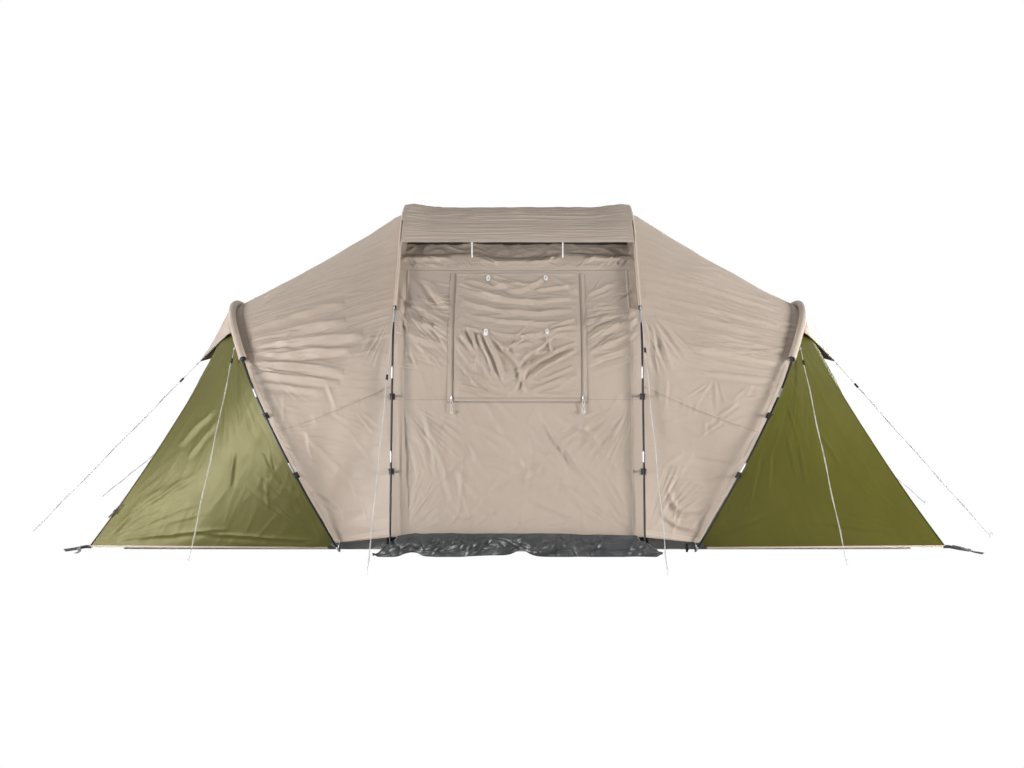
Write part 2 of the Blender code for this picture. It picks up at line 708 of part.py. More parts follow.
def runner(name, first, peg):
    """The sliding adjuster on a guy line: a short sleeve with a bore."""
    start = first[-1]
    end, _ = guy_end(start, peg)
    mesh = bpy.data.meshes.new("runner_" + name)
    half = RUNNER_LENGTH / 2
    profile = [(RUNNER_RADIUS, half), (RUNNER_RADIUS, -half), (RUNNER_BORE, -half), (RUNNER_BORE, half)]
    edges = [(k, (k + 1) % len(profile)) for k in range(len(profile))]
    mesh.from_pydata([(x, 0, z) for x, z in profile], edges, [])
    obj = add("runner_" + name, mesh, BLACK, 0.5)
    turn = obj.modifiers.new("turn", "SCREW")
    turn.axis = "Z"
    turn.steps = RUNNER_SIDES
    turn.render_steps = RUNNER_SIDES
    turn.use_merge_vertices = True
    turn.merge_threshold = 0.0001
    way = (end - start).normalized()
    obj.matrix_world = (Matrix.Translation(start.lerp(end, RUNNER_PLACE[name]))
                        @ way.to_track_quat("Z", "Y").to_matrix().to_4x4())


def ground_peg(name, first, peg):
    """The part of a wire peg that stands above the ground, with its hook."""
    _, away = guy_end(first[-1], peg)
    base = Vector((*peg, 0))
    up = Vector((0, 0, 1))
    points = [base + up * z + away * x for x, z in PEG_PROFILE]
    tube("peg_" + name, points, PEG_RADIUS, STEEL, 0.35, 1.0, 6)


def build():
    clear_scene()
    tent = bpy.data.collections.new("Tent")
    bpy.context.scene.collection.children.link(tent)
    for name, side in SIDES.items():
        hoop_pole("centre_hoop_" + name, CENTRE, side)
        hoop_pole("end_hoop_" + name, END, side)
        hoop_sleeve("centre_sleeve_" + name, CENTRE, side, SLEEVE_STEP)
        hoop_sleeve("end_sleeve_" + name, END, side, END_SLEEVE_STEP)
        bedroom_fly(side, name)
        end_panel(side, name)
        end_hood(side, name)
        vent_strut(side, name)
        window_zip(side, name)
        cabin(side, name)
        cabin_door(side, name)
        strap(side, -1, "front_" + name)
        strap(side, 1, "rear_" + name)
    roof()
    rear_wall()
    front_surround()
    door_panel()
    window_pane()
    window_cover()
    vent_flap()
    groundsheet()
    for name, first, peg in guys():
        guy(name, first, peg)
        runner(name, first, peg)
        ground_peg(name, first, peg)


build()
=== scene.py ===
"""The looks of a two-bedroom family tent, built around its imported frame.

Metres, +Z up, the front door towards -Y. Sizes are the frame's own, and looks are added to them.
"""

import math

import bmesh
import bpy
import numpy as np
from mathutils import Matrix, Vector


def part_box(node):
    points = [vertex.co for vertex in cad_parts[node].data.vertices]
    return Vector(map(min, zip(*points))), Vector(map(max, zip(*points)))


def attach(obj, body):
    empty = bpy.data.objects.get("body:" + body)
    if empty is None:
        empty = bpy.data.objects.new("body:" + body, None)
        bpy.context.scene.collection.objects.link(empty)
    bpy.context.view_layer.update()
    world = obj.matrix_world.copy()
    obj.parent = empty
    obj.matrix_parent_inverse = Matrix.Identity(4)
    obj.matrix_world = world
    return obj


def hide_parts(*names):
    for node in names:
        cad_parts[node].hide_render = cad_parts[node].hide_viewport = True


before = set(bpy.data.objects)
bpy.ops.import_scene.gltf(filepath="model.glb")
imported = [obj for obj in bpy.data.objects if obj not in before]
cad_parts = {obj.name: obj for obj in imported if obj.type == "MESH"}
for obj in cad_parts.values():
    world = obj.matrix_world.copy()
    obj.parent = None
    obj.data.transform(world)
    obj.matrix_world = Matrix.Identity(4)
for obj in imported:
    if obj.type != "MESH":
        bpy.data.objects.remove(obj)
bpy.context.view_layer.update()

# Hoop poles. A profile runs from the foot to the top: distance from the middle plane, height.
CENTRE_HOOP_X = 0.638
CENTRE_PROFILE = [
    (1.10, 0.0), (1.045, 0.40), (0.98, 0.80), (0.91, 1.12), (0.80, 1.27),
    (0.57, 1.52), (0.42, 1.70), (0.22, 1.83), (0.0, 1.89),
]
END_HOOP_X = 0.913
END_HOOP_LEAN = 0.516
END_PROFILE = [
    (0.90, 0.0), (0.96, 0.12), (1.04, 0.40), (1.045, 0.58), (0.99, 0.80),
    (0.84, 0.99), (0.48, 1.24), (0.0, 1.34),
]
POLE_RADIUS = 0.0055
CENTRE_SLEEVE_END = 1.27
END_SLEEVE_END = 1.00
SLEEVE_RADIUS = 0.020
SLEEVE_SHIFT = 0.0128
FABRIC_INSET = 0.0342
CLOTH = 0.0008
SEAM = 0.0009
CENTRE_HEM = 0.095
END_HEM = 0.03
GREEN_HEM = 0.02
CORNER_X = 2.22
CORNER_Y = 0.84
FOOT_TURN = 0.04
RIDGE_SAG = 0.02
ROOF_SAG = 0.012
END_SAG = 0.06
DOOR_TOP = 1.50
DOOR_HALF_WIDTH = 0.585
DOOR_GAP = 0.0006
WINDOW_SILL = 0.79
WINDOW_HALF_WIDTH = 0.30
COVER_HALF_WIDTH = 0.325
VENT_SILL = 1.61
VENT_HINGE = 1.765

# How the hoops are divided: a named height and the number of steps that lead up to it
CENTRE_STEPS = [(CENTRE_HEM, 0), (WINDOW_SILL, 3), (CENTRE_SLEEVE_END, 4), (DOOR_TOP, 3),
                (VENT_SILL, 1), (VENT_HINGE, 2), (CENTRE_PROFILE[-1][1], 3)]
END_STEPS = [(END_HEM, 0), (END_SLEEVE_END, 9), (END_PROFILE[-1][1], 7)]
TOP = 16
LAST = 32
SILL_STEP = 3
SLEEVE_STEP = 7
DOOR_STEP = 10
VENT_SILL_STEP = 11
VENT_STEP = 13
END_SLEEVE_STEP = 9
CREASE_STEP = 12
HOOD_STEP = 11

SIDES = {"left": -1, "right": 1}
OTHER = {"left": "right", "right": "left"}
ENDS = {"front": -1, "rear": 1}
# The corners on the ground: tag, side, and the signs of x and y
CORNERS = [(f"{end}_{name}", name, SIDES[name], ENDS[end]) for name in SIDES for end in ENDS]
# A point inside the tent, which its cloth faces away from
INSIDE = (0, 0, 0.7)

# The photograph's view
FOCAL_MM = 52.0
CAMERA_DISTANCE = 8.5
CAMERA_HEIGHT = 0.80
SHIFT_X = -0.0053
SHIFT_Y = 0.0121


def smooth_line(knots, per_span=48):
    """Points along a smooth curve through a hoop's knots, from the front foot over the top to the rear."""
    full = [(-y, z) for y, z in knots] + [(y, z) for y, z in reversed(knots[:-1])]
    full = np.array(full)
    ends = np.vstack([2 * full[0] - full[1], full, 2 * full[-1] - full[-2]])
    t = np.linspace(0, 1, per_span, endpoint=False)[:, None]
    spans = [
        0.5 * (2 * b + (c - a) * t + (2 * a - 5 * b + 4 * c - d) * t ** 2
               + (3 * b - a - 3 * c + d) * t ** 3)
        for a, b, c, d in zip(ends, ends[1:], ends[2:], ends[3:])
    ]
    return np.vstack(spans + [full[-1:]])


class Hoop:
    """A hoop in its own leaning plane, with stations counted from the front hem to the rear hem."""

    def __init__(self, knots, steps, plane_x, lean):
        self.plane_x = plane_x
        self.lean = lean
        self.rise = math.hypot(1, lean)
        self.line = smooth_line([(y, z * self.rise) for y, z in knots])
        lengths = np.hypot(*np.diff(self.line, axis=0).T)
        self.arc = np.concatenate([[0], np.cumsum(lengths)])
        half = len(self.line) // 2 + 1
        self.front = self.line[:half]
        self.front_arc = self.arc[:half]
        marks = [self.arc_at(z) for z, _ in steps]
        marks[-1] = self.front_arc[-1]
        places = [marks[0]]
        for start, end, (_, count) in zip(marks, marks[1:], steps[1:]):
            places += [start + (end - start) * (k + 1) / count for k in range(count)]
        self.places = np.array(places + [2 * marks[-1] - p for p in reversed(places[:-1])])

    def arc_at(self, z):
        """The length along the front leg up to a height."""
        return float(np.interp(z * self.rise, self.front[:, 1], self.front_arc))

    def length_at(self, t):
        return np.interp(t, np.arange(LAST + 1), self.places)

    def station(self, z):
        return float(np.interp(self.arc_at(z), self.places, np.arange(LAST + 1)))

    def on_line(self, s):
        return np.stack([np.interp(s, self.arc, self.line[:, k]) for k in (0, 1)], -1)

    def flat(self, s, inset=0.0):
        """Points of the hoop's plane at lengths s along it, moved inward."""
        s = np.asarray(s, float)
        reach = 0.006
        tangent = unit(self.on_line(s + reach) - self.on_line(s - reach))
        inward = np.stack([tangent[..., 1], -tangent[..., 0]], -1)
        return self.on_line(s) + inward * np.asarray(inset)[..., None]

    def world(self, flat, side=1, shift=0.0):
        z = flat[..., 1] / self.rise
        across = shift / self.rise
        x = side * (self.plane_x + self.lean * z + across)
        return np.stack([x + 0 * z, flat[..., 0], z - self.lean * across], -1)

    def point(self, t, inset=0.0, side=1, shift=0.0):
        return self.world(self.flat(self.length_at(t), inset), side, shift)

    def axes(self, s, side):
        """A point of the pole, the way along it, the way in to the cloth and the way out of the plane."""
        here = self.world(self.flat(s), side)
        along = unit(self.world(self.flat(s + 0.005), side) - here)
        inward = unit(self.world(self.flat(s, 0.01), side) - here)
        across = unit(self.world(self.flat(s), side, 0.01) - here)
        return here, along, inward, across


def unit(v):
    return v / np.maximum(np.linalg.norm(v, axis=-1, keepdims=True), 1e-12)


CENTRE = Hoop(CENTRE_PROFILE, CENTRE_STEPS, CENTRE_HOOP_X, 0.0)
END = Hoop(END_PROFILE, END_STEPS, END_HOOP_X, END_HOOP_LEAN)


# Noise and folds. Heights are metres out of the cloth.

CELLS = 64


def noise(a, b, seed):
    """Smooth noise from about -1 to 1 over two coordinates counted in cells."""
    a, b = np.broadcast_arrays(a, b)
    turn = np.random.RandomState(seed).uniform(0, 2 * math.pi, (CELLS, CELLS))
    i, j = np.floor(a).astype(int), np.floor(b).astype(int)
    fa, fb = a - i, b - j
    total = np.zeros(a.shape)
    for da in (0, 1):
        for db in (0, 1):
            angle = turn[(i + da) % CELLS, (j + db) % CELLS]
            slope = np.cos(angle) * (fa - da) + np.sin(angle) * (fb - db)
            total += slope * fade(fa if da else 1 - fa) * fade(fb if db else 1 - fb)
    return 1.5 * total


def fade(t):
    return t ** 3 * (t * (6 * t - 15) + 10)


def crests(a, b, seed):
    """Noise with sharp crests and broad hollows, as in pulled cloth."""
    ridge = 1 - np.minimum(1, np.abs(noise(a, b, seed)) * 1.7)
    return ridge ** 1.6 - 0.3


def pulled(a, b, seed):
    """Two sizes of crests."""
    return crests(a, b, seed) + 0.5 * crests(1.6 * a + 9, 2.2 * b + 4, seed + 1)


def rise(value, low, high):
    """0 below low, 1 above high and smooth between."""
    t = np.clip((value - low) / (high - low), 0, 1)
    return t * t * (3 - 2 * t)


def crease(x, z, line, width, depth, bow=0.0):
    """A fold along a line (x0, z0, x1, z1), with a hollow on its lower side."""
    x0, z0, x1, z1 = line if line[2] > line[0] else (*line[2:], *line[:2])
    dx, dz = x1 - x0, z1 - z0
    length = math.hypot(dx, dz)
    total = np.zeros_like(x)
    t = ((x - x0) * dx + (z - z0) * dz) / length ** 2
    off = ((z - z0) * dx - (x - x0) * dz) / length - bow * 4 * t * (1 - t)
    near = (t > 0) & (t < 1) & (np.abs(off) < 6 * width)
    t, off = t[near], off[near]
    off = off + 0.4 * width * noise(t * length / 0.09, 0 * t + 7 * x0 + 3 * z0, 5)
    window = np.clip(4 * t * (1 - t), 0, 1) ** 0.6
    crest = np.exp(-(np.abs(off) / width) ** 1.3)
    hollow = np.exp(-((off + 1.9 * width) / (1.2 * width)) ** 2)
    total[near] = depth * window * (crest - 0.55 * hollow)
    return total


def scatter(x, z, count, area, aim, loose, length, width, depth, seed):
    """Short creases thrown over an area (x0, z0, x1, z1), about loose degrees to either side of aim."""
    random = np.random.RandomState(seed)
    total = np.zeros_like(x)
    for _ in range(count):
        at_x, at_z = random.uniform(area[0], area[2]), random.uniform(area[1], area[3])
        angle = math.radians(aim + random.normal(0, loose))
        half = length * random.uniform(0.3, 1.0) / 2
        line = (at_x - half * math.cos(angle), at_z - half * math.sin(angle),
                at_x + half * math.cos(angle), at_z + half * math.sin(angle))
        total += crease(x, z, line, width * random.uniform(0.7, 1.5), depth * random.uniform(0.3, 1.0))
    return total


def fan(x, z, centre, aim, opening, spacing, near, far, steep, seed):
    """Folds that run out of a point, towards the angle aim and as far as opening on both sides of it."""
    r = np.hypot(x - centre[0], z - centre[1])
    angle = np.arctan2(z - centre[1], x - centre[0]) - math.radians(aim)
    angle = (angle + math.pi) % (2 * math.pi) - math.pi
    half = math.radians(opening)
    window = rise(r, 0.3 * near, near) * (1 - rise(r, 0.55 * far, far))
    window *= 1 - rise(np.abs(angle), 0.6 * half, half)
    step = math.radians(spacing)
    return steep * np.minimum(r, 0.6) * step * window * pulled(r / 0.40, angle / step + 20, seed)


def folded(x, z, folds=(), fans=(), scattered=()):
    """The folds of three tables added up: single creases, fans and thrown creases."""
    total = np.zeros_like(x)
    for values in folds:
        total += crease(x, z, *values)
    for values in fans:
        total += fan(x, z, *values)
    for values in scattered:
        total += scatter(x, z, *values)
    return total


class Cloth:
    """A grid of points whose folds push it in and out along its normals."""

    def __init__(self, points, inside):
        self.p = points
        self.n = unit(np.cross(np.gradient(points, axis=0), np.gradient(points, axis=1)))
        self.flipped = np.sum(self.n * (points - np.array(inside))) < 0
        if self.flipped:
            self.n = -self.n
        wide = np.linalg.norm(np.diff(points, axis=1), axis=-1).sum(axis=1)
        long = np.linalg.norm(np.diff(points, axis=0), axis=-1).sum(axis=0)
        self.flat = (float(wide.max()), float(long.max()))
        a = points[1:, 1:] - points[:-1, :-1]
        b = points[1:, :-1] - points[:-1, 1:]
        self.areas = np.linalg.norm(np.cross(a, b), axis=-1) / 2

    def push(self, height):
        """Moves the cloth along its normals, and works them out again."""
        self.p = self.p + self.n * height[..., None]
        n = unit(np.cross(np.gradient(self.p, axis=0), np.gradient(self.p, axis=1)))
        self.n = -n if self.flipped else n
        return self

    def at(self, r, c, lift=0.0):
        """Points on the cloth at shares r of its rows and c of its columns, lifted off it."""
        r, c = np.broadcast_arrays(np.asarray(r, float), np.asarray(c, float))
        rows, columns = self.p.shape[:2]
        r = np.clip(r, 0, 1) * (rows - 1)
        c = np.clip(c, 0, 1) * (columns - 1)
        i, j = np.minimum(r.astype(int), rows - 2), np.minimum(c.astype(int), columns - 2)
        fr, fc = (r - i)[..., None], (c - j)[..., None]

        def mix(g):
            return ((g[i, j] * (1 - fr) + g[i + 1, j] * fr) * (1 - fc)
                    + (g[i, j + 1] * (1 - fr) + g[i + 1, j + 1] * fr) * fc)

        return mix(self.p) + unit(mix(self.n)) * np.asarray(lift)[..., None]


def plane(down, across):
    """Two grids of even values, down the rows and along the columns, each from low, high and count."""
    return np.meshgrid(np.linspace(*down), np.linspace(*across), indexing="ij")


def middles(*grids):
    """The values of each grid at the middles of its quads."""
    return [(g[:-1, :-1] + g[1:, 1:]) / 2 for g in grids]


# Objects

def new_object(name, mesh, material, body):
    """A smooth object that rides on a body."""
    obj = bpy.data.objects.new(name, mesh)
    bpy.context.scene.collection.objects.link(obj)
    mesh.materials.append(material)
    mesh.shade_smooth()
    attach(obj, body)
    return obj


def grid_mesh(name, points, flipped=False, around=False, skip=None):
    """A mesh of quads through a grid of points. A skip mask leaves quads out."""
    rows, columns = points.shape[:2]
    index = np.arange(rows * columns).reshape(rows, columns)
    if around:
        index = np.hstack([index, index[:, :1]])
    a, b = index[:-1, :-1], index[1:, :-1]
    c, d = index[1:, 1:], index[:-1, 1:]
    quads = np.stack([a, d, c, b] if flipped else [a, b, c, d], -1)
    flat = points.reshape(-1, 3)
    if skip is None:
        faces = quads.reshape(-1, 4)
    else:
        used, faces = np.unique(quads[~skip].reshape(-1), return_inverse=True)
        flat, faces = flat[used], faces.reshape(-1, 4)
    mesh = bpy.data.meshes.new(name)
    mesh.from_pydata(flat.tolist(), [], faces.tolist())
    mesh.update()
    return mesh


def merged(name, meshes, weld=0.0):
    """One mesh from several, with points that meet welded where asked."""
    bm = bmesh.new()
    for mesh in meshes:
        bm.from_mesh(mesh)
        bpy.data.meshes.remove(mesh)
    if weld:
        bmesh.ops.remove_doubles(bm, verts=bm.verts, dist=weld)
    whole = bpy.data.meshes.new(name)
    bm.to_mesh(whole)
    bm.free()
    return whole


def thicken(obj, thickness=CLOTH, offset=-1):
    wall = obj.modifiers.new("wall", "SOLIDIFY")
    wall.thickness = thickness
    wall.offset = offset


def cloth_object(name, cloth, material, body, skip=None):
    obj = new_object(name, grid_mesh(name, cloth.p, cloth.flipped, skip=skip), material, body)
    thicken(obj)
    return obj


def declare(cloth, skip=None):
    """Works out the size that a piece has without its folds, and its area; nothing is kept of them."""
    width, length = cloth.flat
    area = cloth.areas.sum() if skip is None else cloth.areas[~skip].sum()
    area = min(max(float(area), 0.305 * width * length), width * length)


STITCHED_BAND = [(-0.5, 0.2), (-0.42, 1.0), (-0.3, 0.62), (0, 0.9), (0.3, 0.62), (0.42, 1.0), (0.5, 0.2)]
FLAT_BAND = [(-0.5, 0.1), (-0.44, 0.75), (0, 1.0), (0.44, 0.75), (0.5, 0.1)]


def strip(name, cloth, r, c, width, material, body, lift=0.0012, band=STITCHED_BAND):
    """A narrow band sewn on a cloth along a path of grid shares."""
    middle = cloth.at(r, c)
    along = unit(np.gradient(middle, axis=0))
    normal = unit(cloth.at(r, c, 1.0) - middle)
    across = unit(np.cross(along, normal))
    points = np.stack([middle + across * width * a + normal * lift * b for a, b in band], 1)
    return new_object(name, grid_mesh(name, points), material, body)


def tube_mesh(name, path, radius, sides=10, squeeze=None, up=(0, 0, 1)):
    """A closed tube along a path. radius is one number or one a point; squeeze is the second semi-axis."""
    path = np.asarray(path, float)
    along = unit(np.gradient(path, axis=0))
    side = np.cross(along, np.asarray(up, float))
    weak = np.linalg.norm(side, axis=-1) < 1e-3
    side[weak] = np.cross(along[weak], (0.0, 1.0, 0.0))
    side = unit(side)
    over = np.cross(side, along)
    angle = np.linspace(0, 2 * math.pi, sides, endpoint=False)
    first, second = (np.broadcast_to(np.asarray(value, float), (len(path),))[:, None, None]
                     for value in (radius, radius if squeeze is None else squeeze))
    points = (path[:, None] + side[:, None] * np.cos(angle)[None, :, None] * first
              + over[:, None] * np.sin(angle)[None, :, None] * second)
    mesh = grid_mesh(name, points, around=True)
    bm = bmesh.new()
    bm.from_mesh(mesh)
    bmesh.ops.holes_fill(bm, edges=[e for e in bm.edges if e.is_boundary], sides=sides)
    bmesh.ops.recalc_face_normals(bm, faces=bm.faces)
    bm.to_mesh(mesh)
    bm.free()
    return mesh


def tube(name, path, radius, material, body, slot, **options):
    return new_object(name, tube_mesh(name, path, radius, **options), material, body)


def ring_path(centre, a, b, ra, rb, count, turns=1.0):
    """Points round an ellipse with half axes ra along a and rb along b."""
    angle = np.linspace(0, 2 * math.pi * turns, count)[:, None]
    return np.asarray(centre) + np.cos(angle) * ra * np.asarray(a) + np.sin(angle) * rb * np.asarray(b)


def resampled(route, count, corners=False):
    """Even points along a route of straight runs, its corners among them where asked, and its length."""
    route = np.array(route, float)
    arc = np.concatenate([[0], np.cumsum(np.linalg.norm(np.diff(route, axis=0), axis=1))])
    s = np.linspace(0, arc[-1], count)
    if corners:
        s = np.unique(np.concatenate([s, arc]))
    return np.stack([np.interp(s, arc, route[:, k]) for k in range(3)], -1), float(arc[-1])


def square_to(along):
    """Two directions square to a run, the first of them level."""
    side = unit(np.cross(along, (0, 0, 1)))
    return side, np.cross(side, along)


# Materials

def paint(name, colour, roughness, metallic=0.0, sheen=0.0, coat=0.0, specular=0.5):
    """A Principled material and its shader node, with what is constant set on the shader."""
    material = bpy.data.materials.new(name)
    material.use_nodes = True
    shader = material.node_tree.nodes["Principled BSDF"]
    shader.inputs["Base Color"].default_value = (*colour, 1)
    shader.inputs["Roughness"].default_value = roughness
    shader.inputs["Metallic"].default_value = metallic
    shader.inputs["Sheen Weight"].default_value = sheen
    shader.inputs["Coat Weight"].default_value = coat
    shader.inputs["Specular IOR Level"].default_value = specular
    return material, shader


def node(owner, kind, **values):
    """A node of a material or a world, with values for its inputs or its own settings."""
    made = owner.node_tree.nodes.new(kind)
    for key, value in values.items():
        if key in made.inputs:
            made.inputs[key].default_value = value
        else:
            setattr(made, key, value)
    return made


def cloud(material, place, **values):
    """Noise over the object's own coordinates."""
    made = node(material, "ShaderNodeTexNoise", **values)
    material.node_tree.links.new(place.outputs["Object"], made.inputs["Vector"])
    return made.outputs["Fac"]


def mottle(material, shader, colour, other, scale):
    """Varies the base colour between two tones with soft noise."""
    links = material.node_tree.links
    place = node(material, "ShaderNodeTexCoord")
    ramp = node(material, "ShaderNodeValToRGB")
    for element, at, tone in zip(ramp.color_ramp.elements, (0.35, 0.65), (colour, other)):
        element.position = at
        element.color = (*tone, 1)
    links.new(cloud(material, place, Scale=scale, Detail=4.0), ramp.inputs["Fac"])
    links.new(ramp.outputs["Color"], shader.inputs["Base Color"])
    return place


def wave(material, place, direction, scale):
    bands = node(material, "ShaderNodeTexWave", bands_direction=direction, Scale=scale)
    material.node_tree.links.new(place.outputs["Object"], bands.inputs["Vector"])
    return bands.outputs["Fac"]


def join(owner, operation, a, b):
    made = node(owner, "ShaderNodeMath", operation=operation)
    owner.node_tree.links.new(a, made.inputs[0])
    owner.node_tree.links.new(b, made.inputs[1])
    return made.outputs[0]


def relief(material, shader, height, strength, distance, under=None):
    bump = node(material, "ShaderNodeBump", Strength=strength, Distance=distance)
    links = material.node_tree.links
    links.new(height, bump.inputs["Height"])
    if under is not None:
        links.new(under.outputs["Normal"], bump.inputs["Normal"])
    links.new(bump.outputs["Normal"], shader.inputs["Normal"])
    return bump


def vary_gloss(material, shader, source, low, high):
    gloss = node(material, "ShaderNodeMapRange", **{"To Min": low, "To Max": high})
    material.node_tree.links.new(source, gloss.inputs["Value"])
    material.node_tree.links.new(gloss.outputs["Result"], shader.inputs["Roughness"])


def cloth_paint(name, colour, other, roughness, sheen=0.05, crumple=0.15, weave=420.0, specular=0.3):
    """Coated woven polyester: two tones, a plain weave and a fine crumple in the surface."""
    material, shader = paint(name, colour, roughness, sheen=sheen, specular=specular)
    place = mottle(material, shader, colour, other, 2.2)
    crush = cloud(material, place, Scale=16.0, Detail=5.0, Roughness=0.55)
    sharp = cloud(material, place, noise_type="RIDGED_MULTIFRACTAL", Scale=6.5, Detail=3.0, Distortion=0.8)
    first = relief(material, shader, crush, crumple, 0.004)
    second = relief(material, shader, sharp, crumple, 0.005, first)
    threads = join(material, "ADD", wave(material, place, "X", weave), wave(material, place, "Z", weave))
    threads = join(material, "ADD", threads, wave(material, place, "Y", weave))
    relief(material, shader, threads, 0.12, 0.0003, second)
    vary_gloss(material, shader, crush, roughness - 0.05, roughness + 0.07)
    return material


def hard_paint(name, colour, other, roughness, metallic=0.0, specular=0.5):
    """Moulded plastic, fibreglass or metal with faint scuffs."""
    material, shader = paint(name, colour, roughness, metallic, specular=specular)
    place = mottle(material, shader, colour, other, 60.0)
    grain = cloud(material, place, Scale=540.0, Detail=3.0)
    relief(material, shader, grain, 0.15, 0.0004)
    vary_gloss(material, shader, grain, roughness - 0.06, roughness + 0.14)
    return material


def braid_paint(name, colour, other, turns, strength=0.5):
    """Braided cord or webbing: crossed diagonal waves."""
    material, shader = paint(name, colour, 0.75, sheen=0.2)
    place = mottle(material, shader, colour, other, 90.0)
    diagonal, straight = (wave(material, place, direction, turns) for direction in ("DIAGONAL", "X"))
    relief(material, shader, join(material, "MULTIPLY", diagonal, straight), strength, 0.0008)
    return material


def film_paint():
    """Clear soft film."""
    material, shader = paint("window_film", (0.80, 0.83, 0.84), 0.12, coat=0.3)
    shader.inputs["Alpha"].default_value = 0.35
    place = mottle(material, shader, (0.78, 0.81, 0.82), (0.84, 0.86, 0.87), 5.0)
    relief(material, shader, cloud(material, place, Scale=7.0, Detail=2.0), 0.4, 0.01)
    return material


FLY = cloth_paint("fly_cloth", (0.490, 0.405, 0.335), (0.535, 0.443, 0.367), 0.48, specular=0.13)
FLY_BAND = cloth_paint("fly_band", (0.53, 0.44, 0.365), (0.59, 0.50, 0.42), 0.5, crumple=0.2, specular=0.13)
STITCHED = cloth_paint(
    "fly_seam", (0.41, 0.337, 0.275), (0.46, 0.379, 0.31), 0.55, crumple=0.3, specular=0.1)
# A darker copy of the fly cloth that paints shade: the painted shade under the vent flap and the painted
# shadow band under the window cover's hem.
FLY_SHADE = cloth_paint("fly_painted_shade", (0.33, 0.27, 0.222), (0.38, 0.315, 0.26), 0.6, crumple=0.25)
GREEN = cloth_paint(
    "end_cloth", (0.064, 0.061, 0.0075), (0.077, 0.073, 0.0095), 0.56, 0.0, 0.14, specular=0.36)
GREEN.node_tree.nodes["Principled BSDF"].inputs["Specular Tint"].default_value = (1.0, 0.93, 0.64, 1)
GREEN_SIDE = cloth_paint(
    "end_side_cloth", (0.090, 0.085, 0.010), (0.108, 0.101, 0.013), 0.6, 0.0, 0.12, specular=0.05)
GREEN_DARK = cloth_paint("end_seam", (0.075, 0.072, 0.016), (0.092, 0.088, 0.020), 0.45, crumple=0.2)
SHEETING = cloth_paint(
    "sheeting", (0.022, 0.023, 0.024), (0.036, 0.037, 0.039), 0.44, 0.0, 0.10, 900.0, 0.42)
CABIN_FLOOR_CLOTH = cloth_paint("cabin_floor", (0.62, 0.61, 0.59), (0.70, 0.69, 0.67), 0.6, crumple=0.2)
CABIN = cloth_paint("cabin_cloth", (0.80, 0.79, 0.76), (0.86, 0.85, 0.82), 0.7, 0.2, 0.2)
MESH = cloth_paint("vent_mesh", (0.018, 0.018, 0.018), (0.035, 0.034, 0.032), 0.8, 0.1, 0.3, 260.0)
POLE = hard_paint("fibreglass", (0.006, 0.006, 0.007), (0.011, 0.011, 0.012), 0.42, specular=0.22)
FERRULE = hard_paint("ferrule_metal", (0.22, 0.22, 0.23), (0.30, 0.30, 0.31), 0.42, 1.0)
MOULDED = hard_paint("black_moulding", (0.008, 0.008, 0.009), (0.014, 0.014, 0.015), 0.5, specular=0.25)
WHITE_MOULDED = hard_paint("white_moulding", (0.86, 0.86, 0.85), (0.92, 0.92, 0.91), 0.4)
STEEL = hard_paint("peg_steel", (0.55, 0.55, 0.56), (0.66, 0.66, 0.67), 0.34, 1.0)
SLIDER = hard_paint("slider_metal", (0.42, 0.42, 0.43), (0.55, 0.55, 0.56), 0.34, 1.0)
CORD = braid_paint("guy_cord", (0.57, 0.57, 0.55), (0.68, 0.68, 0.66), 160.0, 0.15)
WEBBING = braid_paint("webbing", (0.022, 0.022, 0.023), (0.040, 0.040, 0.041), 120.0)
FILM = film_paint()


def repaint(name, material):
    """Gives a node of the frame a better material."""
    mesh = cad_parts[name].data
    mesh.materials.clear()
    mesh.materials.append(material)
    mesh.shade_smooth()


# Guy lines: the route's points, then the place of the runner along the last run

GUYS = {
    "centre_left": ([(-0.638, -0.8090, 1.27), (-0.638, -0.8340, 1.27), (-0.6719, -1.8765, 0.018)], 0.30),
    "centre_right": ([(0.638, -0.8090, 1.27), (0.638, -0.8340, 1.27), (0.6719, -1.8765, 0.018)], 0.19),
    "front_left": ([(-1.4863, -0.7223, 1.0633), (-1.5527, -1.5215, 0.018)], 0.075),
    "front_right": ([(1.4863, -0.7223, 1.0633), (1.5527, -1.5215, 0.018)], 0.085),
    "rear_left": ([(-1.4863, 0.7223, 1.0633), (-3.2383, 3.0277, 0.018)], 0.20),
    "rear_right": ([(1.4863, 0.7223, 1.0633), (3.0080, 2.4378, 0.018)], 0.21),
    "hood_left": ([(-1.8255, 0.0, 0.9995), (-2.7966, 0.0299, 0.018)], 0.107),
    "hood_right": ([(1.8255, -0.0001, 0.9995), (2.6666, -0.1394, 0.018)], 0.14),
}
GUY_RADIUS = 0.0015
# The strand that comes back from the peg to the runner: its distance from the line, and one turn round it
RETURN_OFFSET = 0.0036
RETURN_TURN = 0.42
KNOT_RADIUS = 0.0032
KNOT_TURNS = 3


def knot(name, at, along):
    """Turns of cord wound round a line."""
    side, over = square_to(along)
    angle = np.linspace(0, 2 * math.pi * KNOT_TURNS, 14 * KNOT_TURNS)[:, None]
    path = ring_path(at, side, over, KNOT_RADIUS, KNOT_RADIUS, 14 * KNOT_TURNS, KNOT_TURNS)
    path = path + along * angle / (2 * math.pi) * 2.2 * GUY_RADIUS
    return tube(name, path, GUY_RADIUS * 0.9, CORD, "tent", "cord", sides=6)


